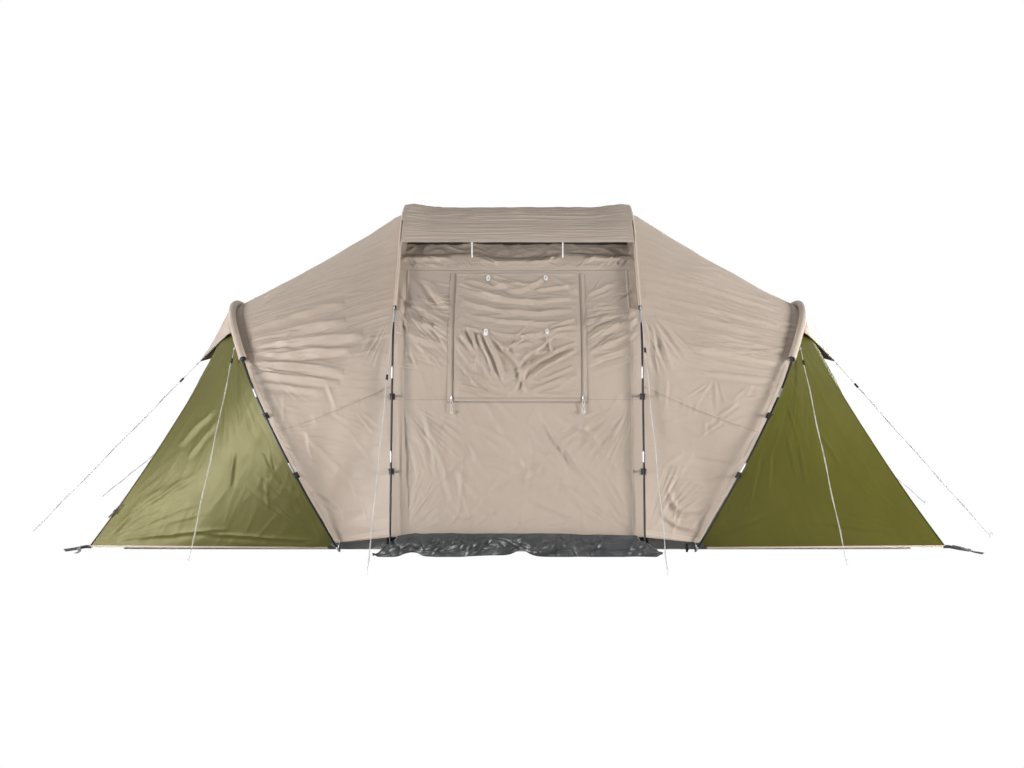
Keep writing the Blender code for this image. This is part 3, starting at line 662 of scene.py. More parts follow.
def guy_lines():
    for name, (route, share) in GUYS.items():
        path, length = resampled(route, 24, corners=True)
        line = tube("line_" + name, path, GUY_RADIUS, CORD, "tent", "cord", sides=8)
        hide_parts("guy_" + name)
        start, end = np.array(route[-2]), np.array(route[-1])
        along = unit(end - start)
        side, over = square_to(along)
        run = np.linalg.norm(end - start)
        s = np.linspace(share * run, run - 0.004, 70)
        turn = 2 * math.pi * (s - s[0]) / RETURN_TURN
        calm = np.clip((s[-1] - s) / 0.05, 0.35, 1)
        offset = side * np.cos(turn)[:, None] + over * np.sin(turn)[:, None]
        back = start + along * s[:, None] + offset * (RETURN_OFFSET * calm)[:, None]
        second = tube("line_return_" + name, back, GUY_RADIUS * 0.9, CORD, "tent", "cord", sides=6)
        tie = knot("knot_" + name, start + along * 0.012, along)
        repaint("runner_" + name, MOULDED)
        repaint("peg_" + name, STEEL)


# Bedrooms. Folds are given by distance from the middle of the tent and height.

BEDROOM_FOLDS = {
    "left": [
        ((1.42, 1.15, 0.92, 1.30), 0.020, 0.014, 0.0),
        ((1.40, 1.10, 0.90, 1.20), 0.022, 0.019, 0.0),
        ((1.39, 1.06, 0.80, 1.12), 0.019, 0.020, 0.0),
        ((1.38, 1.02, 0.86, 1.04), 0.017, 0.017, 0.0),
        ((1.37, 0.975, 0.89, 0.93), 0.019, 0.019, 0.0),
        ((1.36, 0.925, 0.91, 0.875), 0.018, 0.014, 0.0),
        ((1.34, 0.87, 1.02, 0.835), 0.014, 0.009, 0.0),
        ((1.30, 0.60, 0.95, 0.42), 0.012, 0.003, 0.0),
        ((1.20, 0.45, 0.86, 0.20), 0.014, 0.004, 0.0),
        ((1.12, 0.66, 0.78, 0.30), 0.014, 0.003, 0.0),
    ],
    "right": [
        ((0.69, 1.22, 0.72, 0.93), 0.010, 0.004, 0.0),
        ((0.70, 1.22, 0.79, 0.94), 0.012, 0.005, 0.0),
        ((0.71, 1.22, 0.87, 1.00), 0.012, 0.004, 0.0),
        ((0.74, 1.33, 1.40, 1.17), 0.010, 0.006, 0.0),
        ((0.74, 1.47, 1.42, 1.26), 0.009, 0.006, 0.0),
        ((0.88, 1.24, 1.36, 1.09), 0.009, 0.006, 0.0),
        ((0.86, 1.07, 1.34, 0.97), 0.012, 0.007, 0.0),
        ((0.92, 0.93, 1.28, 0.88), 0.010, 0.006, 0.0),
        ((0.76, 0.34, 0.96, 0.24), 0.018, 0.008, -0.075),
        ((0.72, 0.22, 0.92, 0.13), 0.012, 0.007, -0.03),
        ((0.90, 0.50, 1.10, 0.47), 0.010, 0.004, 0.0),
    ],
}
# Where folds run out from: centre, aim, half opening, spacing, near, far, steepness, seed
BEDROOM_FANS = {
    "left": [
        ((1.80, 1.02), 180, 14, 2.6, 0.46, 1.05, 0.36, 21),
        ((0.62, 1.30), -62, 34, 6.0, 0.06, 0.40, 0.16, 22),
        ((1.42, 0.60), -160, 40, 6.0, 0.10, 0.55, 0.10, 23),
    ],
    "right": [
        ((0.63, 1.30), -66, 34, 5.0, 0.06, 0.46, 0.14, 31),
        ((1.75, 1.05), 172, 16, 2.4, 0.36, 1.0, 0.22, 32),
        ((0.64, 0.10), 40, 40, 6.0, 0.08, 0.42, 0.14, 33),
    ],
}
# Short creases: how many, where, their direction and how far they stray from it, length, width, depth
BEDROOM_SCATTER = [
    (46, (0.68, 0.12, 1.30, 0.85), 55, 28, 0.22, 0.007, 0.0032),
    (40, (0.72, 0.95, 1.40, 1.60), -22, 9, 0.30, 0.006, 0.0034),
]


def bedroom_seam(u):
    """The station of the slanting seam, at each share of the way from the centre hoop to the end hoop."""
    return 3.54 + 1.7 * u


def bedroom(side, name):
    """The fly over a bedroom, from the centre hoop to the end hoop, with its seams and hems."""
    t, u = plane((0, LAST, 640), (0, 1, 160))
    a = CENTRE.point(t, FABRIC_INSET, side, SEAM)
    b = END.point(t, FABRIC_INSET, side, -SEAM)
    p = a * (1 - u[..., None]) + b * u[..., None]
    p[..., 2] -= RIDGE_SAG * 4 * u * (1 - u) * np.sin(math.pi * t / LAST)
    cloth = Cloth(p, INSIDE)
    k = np.minimum(t, LAST - t)

    def length_at(station):
        return CENTRE.length_at(station) * (1 - u) + END.length_at(station) * u

    s = length_at(t)
    x, z = np.abs(p[..., 0]), p[..., 2]
    seed = 11 if side < 0 else 29
    upper = rise(k, 5.0, 8.0)
    ridge = 0.0035 * upper * pulled(u * 1.4 + 3, s / 0.065, seed)
    ridge += 0.0012 * upper * pulled(u * 2.5, s / 0.03, seed + 2)
    low = 0.0040 * noise(x / 0.30 + 3, z / 0.16 + 2, seed + 4)
    low += 0.0016 * pulled(x / 0.20 + z, z / 0.07 + 5, seed + 5)
    low += 0.0022 * noise(x / 0.09 + z * 3, z / 0.11 + 8, seed + 6)
    height = ridge + low * (1 - 0.6 * upper)
    from_seam = length_at(k) - length_at(bedroom_seam(u))
    height += 0.0025 * np.exp(-(from_seam / 0.007) ** 2)
    height += 0.0022 * np.exp(-(from_seam / 0.030) ** 2) * noise(u * 26, 0 * u + 0.5 + t // TOP, seed + 7)
    for half, where in ((name, t <= TOP), (OTHER[name], t > TOP)):
        folds = folded(x, z, BEDROOM_FOLDS[half], BEDROOM_FANS[half])
        for number, values in enumerate(BEDROOM_SCATTER):
            folds += scatter(x, z, *values, seed + 8 + number)
        height += np.where(where, folds, 0) * (1 - rise(k, 14.0, 16.0))
    edge = rise(u, 0, 0.06) * rise(1 - u, 0, 0.04) * (0.25 + 0.75 * rise(k, 0.0, 0.4))
    cloth.push(1.5 * height * edge)
    obj = cloth_object("fly_" + name, cloth, FLY, "tent")
    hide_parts("bedroom_fly_" + name)
    declare(cloth)
    c = np.linspace(0, 1, 110)
    for end, r in (("front", bedroom_seam(c) / LAST), ("rear", 1 - bedroom_seam(c) / LAST)):
        strip(f"fly_seam_{end}_{name}", cloth, r, c, 0.006, STITCHED, "tent", 0.0006)
    for end, r in (("front", 0.0035), ("rear", 0.9965)):
        strip(f"fly_hem_{end}_{name}", cloth, r, c, 0.026, FLY_BAND, "tent", 0.0016)
    strip("fly_sleeve_seam_" + name, cloth, np.linspace(0.28, 0.72, 180), 0.948, 0.006, STITCHED, "tent")
    for end, first, last in (("front", 0.0, 0.275), ("rear", 0.725, 1.0)):
        r = np.linspace(first, last, 110)
        strip(f"fly_edge_{end}_{name}", cloth, r, 0.988, 0.016, FLY_BAND, "tent", 0.0016)


# Hoops, their ferrules and clips, and their sleeves

# Heights of what sits on each leg: bare ferrules, and the clips that hold the cloth to the pole
FERRULES = {"centre": [(1.18, 1.245), (0.89, 0.955), (0.465, 0.525)], "end": [(0.795, 0.84), (0.414, 0.465)]}
CLIPS = {"centre": [0.805, 0.424], "end": [0.707, 0.395]}
FERRULE_RADIUS = 0.0062
FOOT_TIP = 0.035


def hoop_piece(kind, hoop, side, name):
    s = np.linspace(0, hoop.arc[-1], 260)
    path = hoop.world(hoop.flat(s), side)
    path[:, 2] = np.maximum(path[:, 2], 0.004)
    obj = tube(f"hoop_{kind}_{name}", path, POLE_RADIUS, POLE, "tent", "pole", sides=12, up=(1, 0, 0))
    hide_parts(f"{kind}_hoop_{name}")
    whole = hoop.arc[-1]
    ferrules, clips = [], []
    for mirror in (False, True):
        for low, high in FERRULES[kind]:
            s = np.linspace(hoop.arc_at(low), hoop.arc_at(high), 12)
            radius = FERRULE_RADIUS * np.array([0.86] + [1] * 10 + [0.86])
            path = hoop.world(hoop.flat(whole - s if mirror else s), side)
            ferrules.append(tube_mesh("ferrule", path, radius, 14, up=(1, 0, 0)))
        s = np.linspace(0.004, FOOT_TIP, 8)
        radius = np.array([0.5, 0.85] + [1] * 5 + [0.86]) * FERRULE_RADIUS
        path = hoop.world(hoop.flat(whole - s if mirror else s), side)
        path[:, 2] = np.maximum(path[:, 2], 0.006)
        ferrules.append(tube_mesh("tip", path, radius, 14, up=(1, 0, 0)))
        for z in CLIPS[kind]:
            s = hoop.arc_at(z)
            clips += clip_meshes(hoop, whole - s if mirror else s, side)
        z = CENTRE_SLEEVE_END if kind == "centre" else END_SLEEVE_END
        s = hoop.arc_at(z - 0.008)
        here, along, _, _ = hoop.axes(np.array(whole - s if mirror else s), side)
        clips.append(tube_mesh("binding", [here - along * 0.009, here, here + along * 0.009], 0.0095, 14))
    new_object(f"ferrules_{kind}_{name}", merged("ferrules", ferrules), FERRULE, "tent")
    new_object(f"clips_{kind}_{name}", merged("clips", clips), MOULDED, "tent")


def clip_meshes(hoop, s, side):
    """A moulded hook round the pole, its neck and the webbing tab that is sewn to the cloth."""
    here, along, inward, across = hoop.axes(np.array(s), side)
    u = np.linspace(-1, 1, 9)[:, None]
    barrel = here + along * 0.010 * u
    radius = 0.0084 - 0.0014 * u[:, 0] ** 4
    neck = here + inward * np.linspace(0.006, FABRIC_INSET - 0.003, 7)[:, None]
    tab = here + inward * (FABRIC_INSET - 0.0025) + along * 0.016 * u
    lip = here - inward * 0.008 + along * 0.004 + across * 0.013 * u
    return [
        tube_mesh("barrel", barrel, radius, 14, up=across),
        tube_mesh("neck", neck, 0.0065, 10, 0.0022, up=across),
        tube_mesh("tab", tab, 0.0125, 10, 0.0014, up=inward),
        tube_mesh("lip", lip, 0.0022, 8),
    ]


def sleeve_piece(kind, hoop, side, name, first, across, seed):
    """A hoop's fabric sleeve: a soft tube with gathers, across its half width out of the hoop's plane."""
    s = np.linspace(hoop.length_at(first), hoop.length_at(LAST - first), 330)
    centre = hoop.world(hoop.flat(s, SLEEVE_SHIFT), side)
    out = unit(hoop.world(hoop.flat(s, SLEEVE_SHIFT - 0.01), side) - centre)
    lateral = unit(hoop.world(hoop.flat(s, SLEEVE_SHIFT), side, 0.01) - centre)
    angle = np.linspace(0, 2 * math.pi, 24, endpoint=False)[None, :]
    a = s[:, None] / 0.035
    puff = 1 + 0.05 * noise(a, 1.5 * np.cos(angle) + 5, seed)
    puff += 0.06 * crests(a * 0.6, 1.3 * np.sin(angle) + 9, seed + 1)
    points = (centre[:, None] + out[:, None] * (np.cos(angle) * puff * SLEEVE_RADIUS)[..., None]
              + lateral[:, None] * (np.sin(angle) * puff * across)[..., None])
    mesh = grid_mesh("sleeve", points, side < 0, around=True)
    obj = new_object(f"sleeve_{kind}_{name}", mesh, FLY_BAND, "tent")
    thicken(obj)
    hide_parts(f"{kind}_sleeve_{name}")


# Living room

# Folds across the door and the cloth beside it: line, width, depth and bow
FRONT_FOLDS = [
    ((-0.545, 1.45, -0.350, 1.24), 0.016, 0.011, 0.01),
    ((-0.575, 1.30, -0.370, 1.17), 0.018, 0.013, 0.0),
    ((-0.600, 1.22, -0.370, 1.13), 0.018, 0.014, 0.0),
    ((-0.600, 1.13, -0.370, 1.06), 0.015, 0.009, 0.0),
    ((-0.560, 1.03, -0.370, 0.99), 0.014, 0.005, 0.0),
    ((0.625, 1.24, 0.370, 1.185), 0.010, 0.008, 0.0),
    ((0.625, 1.20, 0.370, 1.11), 0.013, 0.012, 0.0),
    ((0.620, 1.13, 0.370, 1.03), 0.011, 0.011, 0.0),
    ((0.600, 1.06, 0.370, 0.98), 0.011, 0.006, 0.0),
    ((0.560, 0.98, 0.380, 0.92), 0.012, 0.003, 0.0),
    ((0.600, 1.42, 0.380, 1.34), 0.014, 0.004, 0.0),
    ((-0.52, 0.78, -0.32, 0.24), 0.016, 0.005, 0.02),
    ((-0.47, 0.74, -0.40, 0.36), 0.012, 0.004, 0.0),
    ((-0.24, 0.66, 0.02, 0.52), 0.014, 0.005, 0.02),
    ((-0.20, 0.50, 0.10, 0.36), 0.016, 0.006, 0.03),
    ((-0.30, 0.40, -0.05, 0.16), 0.014, 0.004, 0.0),
    ((0.10, 0.76, -0.02, 0.50), 0.016, 0.004, 0.0),
    ((0.14, 0.72, 0.42, 0.30), 0.016, 0.006, -0.02),
    ((0.05, 0.66, 0.26, 0.44), 0.012, 0.004, 0.0),
    ((0.30, 0.70, 0.52, 0.40), 0.015, 0.004, 0.0),
    ((0.58, 0.78, 0.44, 0.48), 0.014, 0.004, 0.0),
    ((0.02, 0.30, 0.30, 0.18), 0.014, 0.004, 0.0),
    ((-0.588, 1.42, -0.580, 0.80), 0.014, -0.009, 0.0),
    ((-0.580, 0.80, -0.545, 0.14), 0.015, -0.010, 0.0),
]
FRONT_FANS = [
    ((-0.66, 1.30), -20, 34, 5.0, 0.08, 0.44, 0.26, 41),
    ((0.66, 1.27), 198, 30, 5.0, 0.06, 0.44, 0.32, 42),
    ((-0.62, 0.80), -50, 34, 6.0, 0.08, 0.50, 0.15, 43),
    ((0.62, 0.80), 228, 34, 6.0, 0.08, 0.50, 0.15, 44),
    ((-0.60, 0.08), 52, 34, 7.0, 0.08, 0.40, 0.15, 45),
    ((0.60, 0.08), 128, 34, 7.0, 0.08, 0.40, 0.15, 46),
]
# Short creases: how many, where, their direction and how far they stray from it, length, width, depth, seed
FRONT_SCATTER = [
    (40, (-0.62, 0.95, -0.38, 1.46), -38, 16, 0.20, 0.006, 0.0045, 401),
    (40, (0.38, 0.95, 0.62, 1.46), 22, 14, 0.20, 0.006, 0.0050, 402),
    (26, (-0.60, 0.12, 0.60, 0.78), -60, 22, 0.34, 0.010, 0.0030, 403),
    (18, (-0.60, 0.12, 0.60, 0.78), 58, 20, 0.32, 0.010, 0.0028, 404),
    (16, (-0.36, 0.16, 0.36, 0.72), -52, 16, 0.36, 0.014, 0.0070, 412),
    (12, (-0.36, 0.16, 0.36, 0.72), 40, 16, 0.30, 0.014, 0.0060, 413),
    (24, (-0.58, 0.10, 0.58, 0.22), 40, 40, 0.12, 0.007, 0.0035, 405),
]
LINTEL_SCATTER = [
    (30, (-0.60, 1.46, -0.05, 1.56), -35, 20, 0.14, 0.005, 0.005, 406),
    (30, (0.05, 1.46, 0.60, 1.56), 30, 20, 0.14, 0.005, 0.005, 407),
]
STRUT_X = 0.245
LINTEL_Z = 1.545
VENT_NET_HALF_WIDTH = 0.60


def lintel_line(x):
    """The height of the ridge of cloth that the vent's struts stand on."""
    between = np.clip(1 - (x / STRUT_X) ** 2, 0, 1)
    outside = np.clip((np.abs(x) - STRUT_X) / 0.35, 0, 1)
    return LINTEL_Z - 0.026 * between - 0.004 * outside + 0.005 * noise(x / 0.16, 0 * x, 47)


def lintel(x, z):
    """The ridge under the vent, and the hollow behind it."""
    line = lintel_line(x)
    ridge = 0.008 * np.exp(-(np.abs(z - line) / 0.009) ** 1.5)
    second = 0.005 * np.exp(-((z - line + 0.060 + 0.01 * noise(x / 0.2, 0 * x + 5, 48)) / 0.011) ** 2)
    hollow = 0.020 * rise(z - line, 0.006, 0.05) * (1 - rise(z, 1.68, 1.75))
    posts = np.exp(-((np.abs(x) - STRUT_X) / 0.05) ** 2)
    return (ridge + second) * (1 - 0.5 * posts) - hollow * (1 - 0.55 * posts)


def living_height(x, z, seed=71):
    """The folds that the door and the cloth beside it share."""
    height = folded(x, z, FRONT_FOLDS, FRONT_FANS, FRONT_SCATTER)
    height += 0.0036 * noise(x / 0.24 + z * 1.2 + 7, z / 0.30 + 4, seed)
    height += 0.0022 * noise(x / 0.10 + z * 2.0 + 3, z / 0.13 + 2, seed + 2)
    height += 0.0013 * pulled(z / 0.26 + 2, x / 0.10 + z * 2.4 + 9, seed + 1)
    height += 0.0020 * np.exp(-((z - 0.79) / 0.03) ** 2) * noise(x / 0.035, z / 0.05, seed + 3)
    height += 0.0035 * np.exp(-((z - 0.105) / 0.018) ** 2) * noise(x / 0.045, z / 0.04, seed + 4)
    return height


def living_grid(edge, low, high, inset, rows, columns):
    """Points between the centre hoops, out to edge on both sides and between two stations, with t and x."""
    t, x = plane((low, high, rows), (-edge, edge, columns))
    flat = CENTRE.flat(CENTRE.length_at(t), inset + 0 * x)
    return np.stack([x, flat[..., 0], flat[..., 1]], -1), t, x


def front_height(p, t, x):
    """The folds of the whole front, calm at its edges and under the window's cover."""
    z = p[..., 2]
    under = rise(COVER_HALF_WIDTH + 0.04 - np.abs(x), 0, 0.02)
    under *= rise(z, 0.77, 0.80) * rise(DOOR_TOP - z, 0, 0.03)
    calm = rise(CENTRE_HOOP_X - np.abs(x), 0.001, 0.035) * rise(t, 0, 0.35)
    folds = 1.25 * living_height(x, z) * (1 - 0.9 * under)
    folds *= 1 - rise(t, DOOR_STEP - 1.1, DOOR_STEP - 0.4)
    strings = 0.0045 * crests(x / 0.10 + 2, z / 0.05 + 1, 75) + 0.003 * pulled(z / 0.05, x / 0.16 + z, 76)
    strings += folded(x, z, scattered=LINTEL_SCATTER)
    # The cloth is flat along the door's hinge and where the struts lie down
    strut_bed = np.exp(-((np.abs(x) - STRUT_X - 0.055) / 0.085) ** 4)
    strut_bed *= np.exp(-((z - LINTEL_Z - 0.005) / 0.032) ** 4)
    above = (strings + lintel(x, z)) * rise(t, DOOR_STEP + 0.03, DOOR_STEP + 0.3) * (1 - strut_bed)
    return (folds + above) * calm


def front_cloth():
    """The cloth beside and above the door, the netting of the vent, and a strip of painted shade under the
    vent flap.
    """
    edge = CENTRE_HOOP_X - SEAM
    p, t, x = living_grid(edge, 0, VENT_STEP, FABRIC_INSET, 340, 320)
    cloth = Cloth(p, INSIDE).push(front_height(p, t, x))
    middle_x, middle_t, middle_z = middles(x, t, p[..., 2])
    is_side = middle_t < DOOR_STEP
    is_net = (middle_t > VENT_SILL_STEP + 0.62) & (middle_t < VENT_STEP - 0.15)
    is_net &= np.abs(middle_x) < VENT_NET_HALF_WIDTH
    # Painted shade: the cloth above the lintel's ridge, under the vent flap, is a separate piece in the
    # darker FLY_SHADE paint.
    is_painted_shade = ~is_net & ~is_side & (middle_z > lintel_line(middle_x) + 0.020)
    lintel_skip = is_side | is_net | is_painted_shade
    surround = cloth_object("surround", cloth, FLY, "tent", skip=lintel_skip)
    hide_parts("front_surround")
    painted_shade_piece = cloth_object("vent_painted_shade", cloth, FLY_SHADE, "tent", skip=~is_painted_shade)
    net = cloth_object("vent_net", cloth, MESH, "tent", skip=~is_net)
    rows = np.linspace(0.0, DOOR_STEP / VENT_STEP, 150)
    for name, side in SIDES.items():
        skip = ~is_side | (middle_x * side < DOOR_HALF_WIDTH)
        panel = cloth_object("side_" + name, cloth, FLY, "tent", skip=skip)
        c = 0.5 + side * 0.5 * DOOR_HALF_WIDTH / edge
        strip("door_zip_" + name, cloth, rows, c, 0.012, FLY, "tent", 0.0018, band=FLAT_BAND)
        c = np.linspace(0, (edge - DOOR_HALF_WIDTH - 0.004) / (2 * edge), 12)
        c = c if side < 0 else 1 - c
        strip("side_seam_" + name, cloth, SILL_STEP / VENT_STEP, c, 0.005, STITCHED, "tent", 0.001)


# The window's opening, and the stations of the lower and upper edge of its cover
WINDOW_LOW = 0.83
WINDOW_HIGH = 1.43
COVER_LOW = SILL_STEP - 0.04
COVER_HIGH = DOOR_STEP - 0.28
# The flap beside each window zip and its two lines of stitching: name, distance from the middle at the foot
# and at the head, width, paint, lift and outline
ZIP_FLAPS = [
    ("zip_flap", 0.344, 0.342, 0.030, FLY, 0.0012, FLAT_BAND),
    ("zip_flap_edge", 0.3610, 0.3590, 0.0035, STITCHED, 0.0012, STITCHED_BAND),
    ("zip_flap_line", 0.3275, 0.3260, 0.0030, STITCHED, 0.0016, STITCHED_BAND),
]


def door_cloth():
    """The door with its window, and the bands round the window."""
    edge = DOOR_HALF_WIDTH - DOOR_GAP
    top = DOOR_STEP - 0.008
    p, t, x = living_grid(edge, 0, top, FABRIC_INSET, 360, 311)
    cloth = Cloth(p, INSIDE).push(front_height(p, t, x))
    low, high = CENTRE.station(WINDOW_LOW), CENTRE.station(WINDOW_HIGH)
    middle_x, middle_t = middles(x, t)
    hole = (np.abs(middle_x) < WINDOW_HALF_WIDTH) & (middle_t > low) & (middle_t < high)
    door = cloth_object("door", cloth, FLY, "door", skip=hole)
    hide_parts("door_panel")
    declare(cloth, hole)

    def share(x_place):
        return 0.5 + 0.5 * x_place / edge

    def border(name, t0, t1, x0, x1, width, material, lift=0.0012, band=STITCHED_BAND):
        r, c = np.linspace(t0 / top, t1 / top, 90), np.linspace(share(x0), share(x1), 90)
        strip(name, cloth, r, c, width, material, "door", lift, band=band)

    for name, side in SIDES.items():
        border("window_tape_" + name, low, high, side * 0.304, side * 0.304, 0.014, STITCHED)
        for kind, x0, x1, *looks in ZIP_FLAPS:
            border(f"{kind}_{name}", COVER_LOW, COVER_HIGH, side * x0, side * x1, *looks)
        border("door_seam_" + name, SILL_STEP, SILL_STEP, side * 0.36, side * 0.583, 0.005, STITCHED, 0.001)
    for name, t0, half, width, material in (
            ("window_tape_low", low, 0.30, 0.014, STITCHED),
            ("window_tape_high", high, 0.30, 0.014, STITCHED),
            ("window_shadow", SILL_STEP - 0.06, 0.36, 0.010, FLY_SHADE),
            ("cover_top_line", DOOR_STEP - 0.27, 0.36, 0.004, STITCHED)):
        border(name, t0, t0, -half, half, width, material)

    reach = WINDOW_HALF_WIDTH + 0.006
    p, t, x = living_grid(reach, low - 0.03, high + 0.03, FABRIC_INSET + 0.0022, 60, 60)
    film = Cloth(p, INSIDE).push(0.0008 * noise(x / 0.16, t * 1.1, 77))
    pane = cloth_object("pane", film, FILM, "door")
    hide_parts("window_pane")


# Folds of the window cover, which hangs from its top edge and two pairs of loops
COVER_FOLDS = [
    ((-0.155, 1.435, 0.150, 1.435), 0.014, 0.011, -0.075),
    ((-0.300, 1.38, 0.290, 1.315), 0.013, 0.012, -0.05),
    ((-0.290, 1.30, 0.290, 1.255), 0.011, 0.010, -0.045),
    ((-0.280, 1.23, 0.290, 1.19), 0.010, 0.008, -0.03),
    ((0.06, 1.36, 0.30, 1.38), 0.008, 0.006, 0.0),
    ((0.04, 1.30, 0.28, 1.31), 0.008, 0.006, 0.0),
    ((-0.280, 1.155, -0.170, 1.135), 0.008, 0.007, 0.0),
    ((-0.150, 1.145, 0.150, 1.14), 0.010, 0.009, -0.03),
    ((-0.170, 1.13, -0.060, 0.88), 0.010, 0.013, 0.0),
    ((-0.205, 1.12, -0.115, 0.93), 0.008, 0.009, 0.0),
    ((-0.140, 1.12, 0.020, 0.96), 0.009, 0.008, 0.0),
    ((-0.300, 1.12, -0.200, 1.01), 0.009, 0.009, 0.0),
    ((0.305, 1.075, 0.050, 0.94), 0.009, 0.015, 0.01),
    ((0.305, 1.030, 0.070, 0.90), 0.008, 0.014, 0.01),
    ((0.290, 1.16, 0.100, 1.10), 0.008, 0.009, 0.01),
    ((0.300, 1.20, 0.160, 1.15), 0.007, 0.008, 0.0),
    ((0.150, 1.12, 0.190, 1.02), 0.008, 0.006, 0.0),
    ((-0.290, 0.86, -0.090, 0.80), 0.008, 0.009, 0.0),
    ((-0.280, 0.93, -0.060, 0.84), 0.010, 0.007, 0.0),
    ((0.000, 1.00, 0.050, 0.82), 0.010, 0.007, 0.0),
    ((0.240, 0.90, 0.020, 0.81), 0.010, 0.008, 0.0),
    ((0.290, 0.96, 0.120, 0.88), 0.009, 0.006, 0.0),
    ((0.060, 0.815, 0.300, 0.800), 0.008, 0.006, 0.0),
]
COVER_SCATTER = [
    (20, (-0.30, 1.16, 0.30, 1.44), -6, 14, 0.36, 0.008, 0.007, 408),
    (12, (-0.30, 0.82, 0.02, 1.13), -58, 20, 0.26, 0.008, 0.008, 409),
    (16, (0.00, 0.82, 0.30, 1.13), 32, 16, 0.30, 0.008, 0.009, 410),
]
# The loops that hold the cover when it is rolled up: place, height and length
TOGGLES = [(-0.155, 1.447, 0.040), (0.150, 1.447, 0.040), (-0.163, 1.141, 0.036), (0.153, 1.143, 0.036)]


def window_cover():
    """The loose flap over the window, with its hanging loops."""
    edge = COVER_HALF_WIDTH
    p, t, x = living_grid(edge, COVER_LOW, COVER_HIGH, FABRIC_INSET - 0.003, 260, 230)
    z = p[..., 2]
    calm = rise(edge - np.abs(x), 0.0, 0.03) * rise(1.465 - z, 0, 0.02) * (0.4 + 0.6 * rise(z, 0.79, 0.83))
    for x_place, z_place, _ in TOGGLES:
        calm = calm * (1 - np.exp(-((x - x_place) / 0.022) ** 2 - ((z - z_place) / 0.030) ** 2))
    height = 1.25 * folded(x, z, COVER_FOLDS) + folded(x, z, scattered=COVER_SCATTER)
    height += 0.0050 * noise(x / 0.20 + 3, z / 0.09 + 5, 81)
    height += 0.0024 * pulled(x / 0.18 + z * 3, z / 0.07 + x, 82)
    cloth = Cloth(p, INSIDE).push(0.003 + np.maximum(1.35 * height, -0.003) * calm)
    cover = cloth_object("cover", cloth, FLY, "window_cover")
    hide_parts("window_cover")
    declare(cloth)
    c = np.linspace(0, 1, 110)
    strip("cover_hem", cloth, 0.012, c, 0.010, STITCHED, "window_cover", 0.0015)
    strip("cover_top", cloth, 0.985, c, 0.014, FLY_BAND, "window_cover", 0.0015)
    for number, (x_place, z_place, tall) in enumerate(TOGGLES):
        r = (CENTRE.station(z_place) - COVER_LOW) / (COVER_HIGH - COVER_LOW)
        c = 0.5 + 0.5 * x_place / edge
        middle = cloth.at(r, c, 0.004)
        normal = unit(cloth.at(r, c, 1.0) - middle)
        across = np.array([1.0, 0, 0])
        up = unit(np.cross(normal, across))
        path = ring_path(middle, across, up, 0.0068, tall / 2, 36)
        meshes = [tube_mesh("loop", path, 0.0044, 8, 0.0018, up=normal)]
        if number > 1:
            tongue = middle - up * np.linspace(0.002, 0.020, 6)[:, None] + normal * 0.002
            meshes.append(tube_mesh("tongue", tongue, 0.0085, 8, 0.0024, up=normal))
        new_object(f"toggle_{number + 1}", merged("toggle", meshes), WHITE_MOULDED, "window_cover")


ROOF_EDGE = 0.647


def roof_lift(x):
    """How far the roof and the flap stand out from the other cloth, since they climb over the sleeves."""
    a = np.abs(x)
    over = np.clip((a - CENTRE_HOOP_X) / (ROOF_EDGE - CENTRE_HOOP_X), 0, 1)
    return 0.005 + 0.017 * rise(a, 0.44, 0.625) - 0.015 * over ** 2


def roof_cloth():
    t, x = plane((VENT_STEP, LAST - VENT_SILL_STEP, 200), (-ROOF_EDGE, ROOF_EDGE, 270))
    s = CENTRE.length_at(t)
    flat = CENTRE.flat(s, SLEEVE_SHIFT - roof_lift(x))
    p = np.stack([x, flat[..., 0], flat[..., 1]], -1)
    middle = np.clip(1 - (x / 0.61) ** 2, 0, 1)
    p[..., 2] -= ROOF_SAG / 2 * middle * np.minimum(1, (t - VENT_STEP) / (TOP - VENT_STEP))
    cloth = Cloth(p, INSIDE)
    height = 0.0055 * pulled(x / 0.50 + 8, s / 0.050, 91) + 0.0020 * pulled(x / 0.34 + 3, s / 0.025, 93)
    height += scatter(x, s, 60, (-0.6, float(s.min()), 0.6, float(s.max())), 4, 5, 0.5, 0.005, 0.004, 411)
    cloth.push(1.4 * height * rise(0.64 - np.abs(x), 0, 0.05) * rise(t - VENT_STEP, 0, 0.6))
    roof = cloth_object("roof", cloth, FLY, "tent")
    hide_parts("roof_fly")
    declare(cloth)


def rear_cloth():
    edge = CENTRE_HOOP_X - SEAM
    p, t, x = living_grid(edge, LAST - VENT_STEP, LAST, FABRIC_INSET, 240, 170)
    cloth = Cloth(p, INSIDE)
    calm = rise(edge - np.abs(x), 0, 0.04) * rise(LAST - t, 0, 0.35)
    cloth.push(living_height(-x, p[..., 2], 95) * calm)
    rear = cloth_object("rear", cloth, FLY, "tent")
    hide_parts("rear_wall")
    declare(cloth)
    c = np.linspace(0, 1, 130)
    strip("rear_seam", cloth, (VENT_STEP - SILL_STEP) / VENT_STEP, c, 0.009, STITCHED, "tent", 0.001)
    strip("rear_hem", cloth, 0.993, c, 0.024, FLY_BAND, "tent", 0.0016)


# The vent flap's hinge and lower edge: distance from the middle plane, height
FLAP_HINGE = (-0.3291, 1.7540)
FLAP_EDGE = (-0.5172, 1.6318)
FLAP_HALF_WIDTH = 0.6295


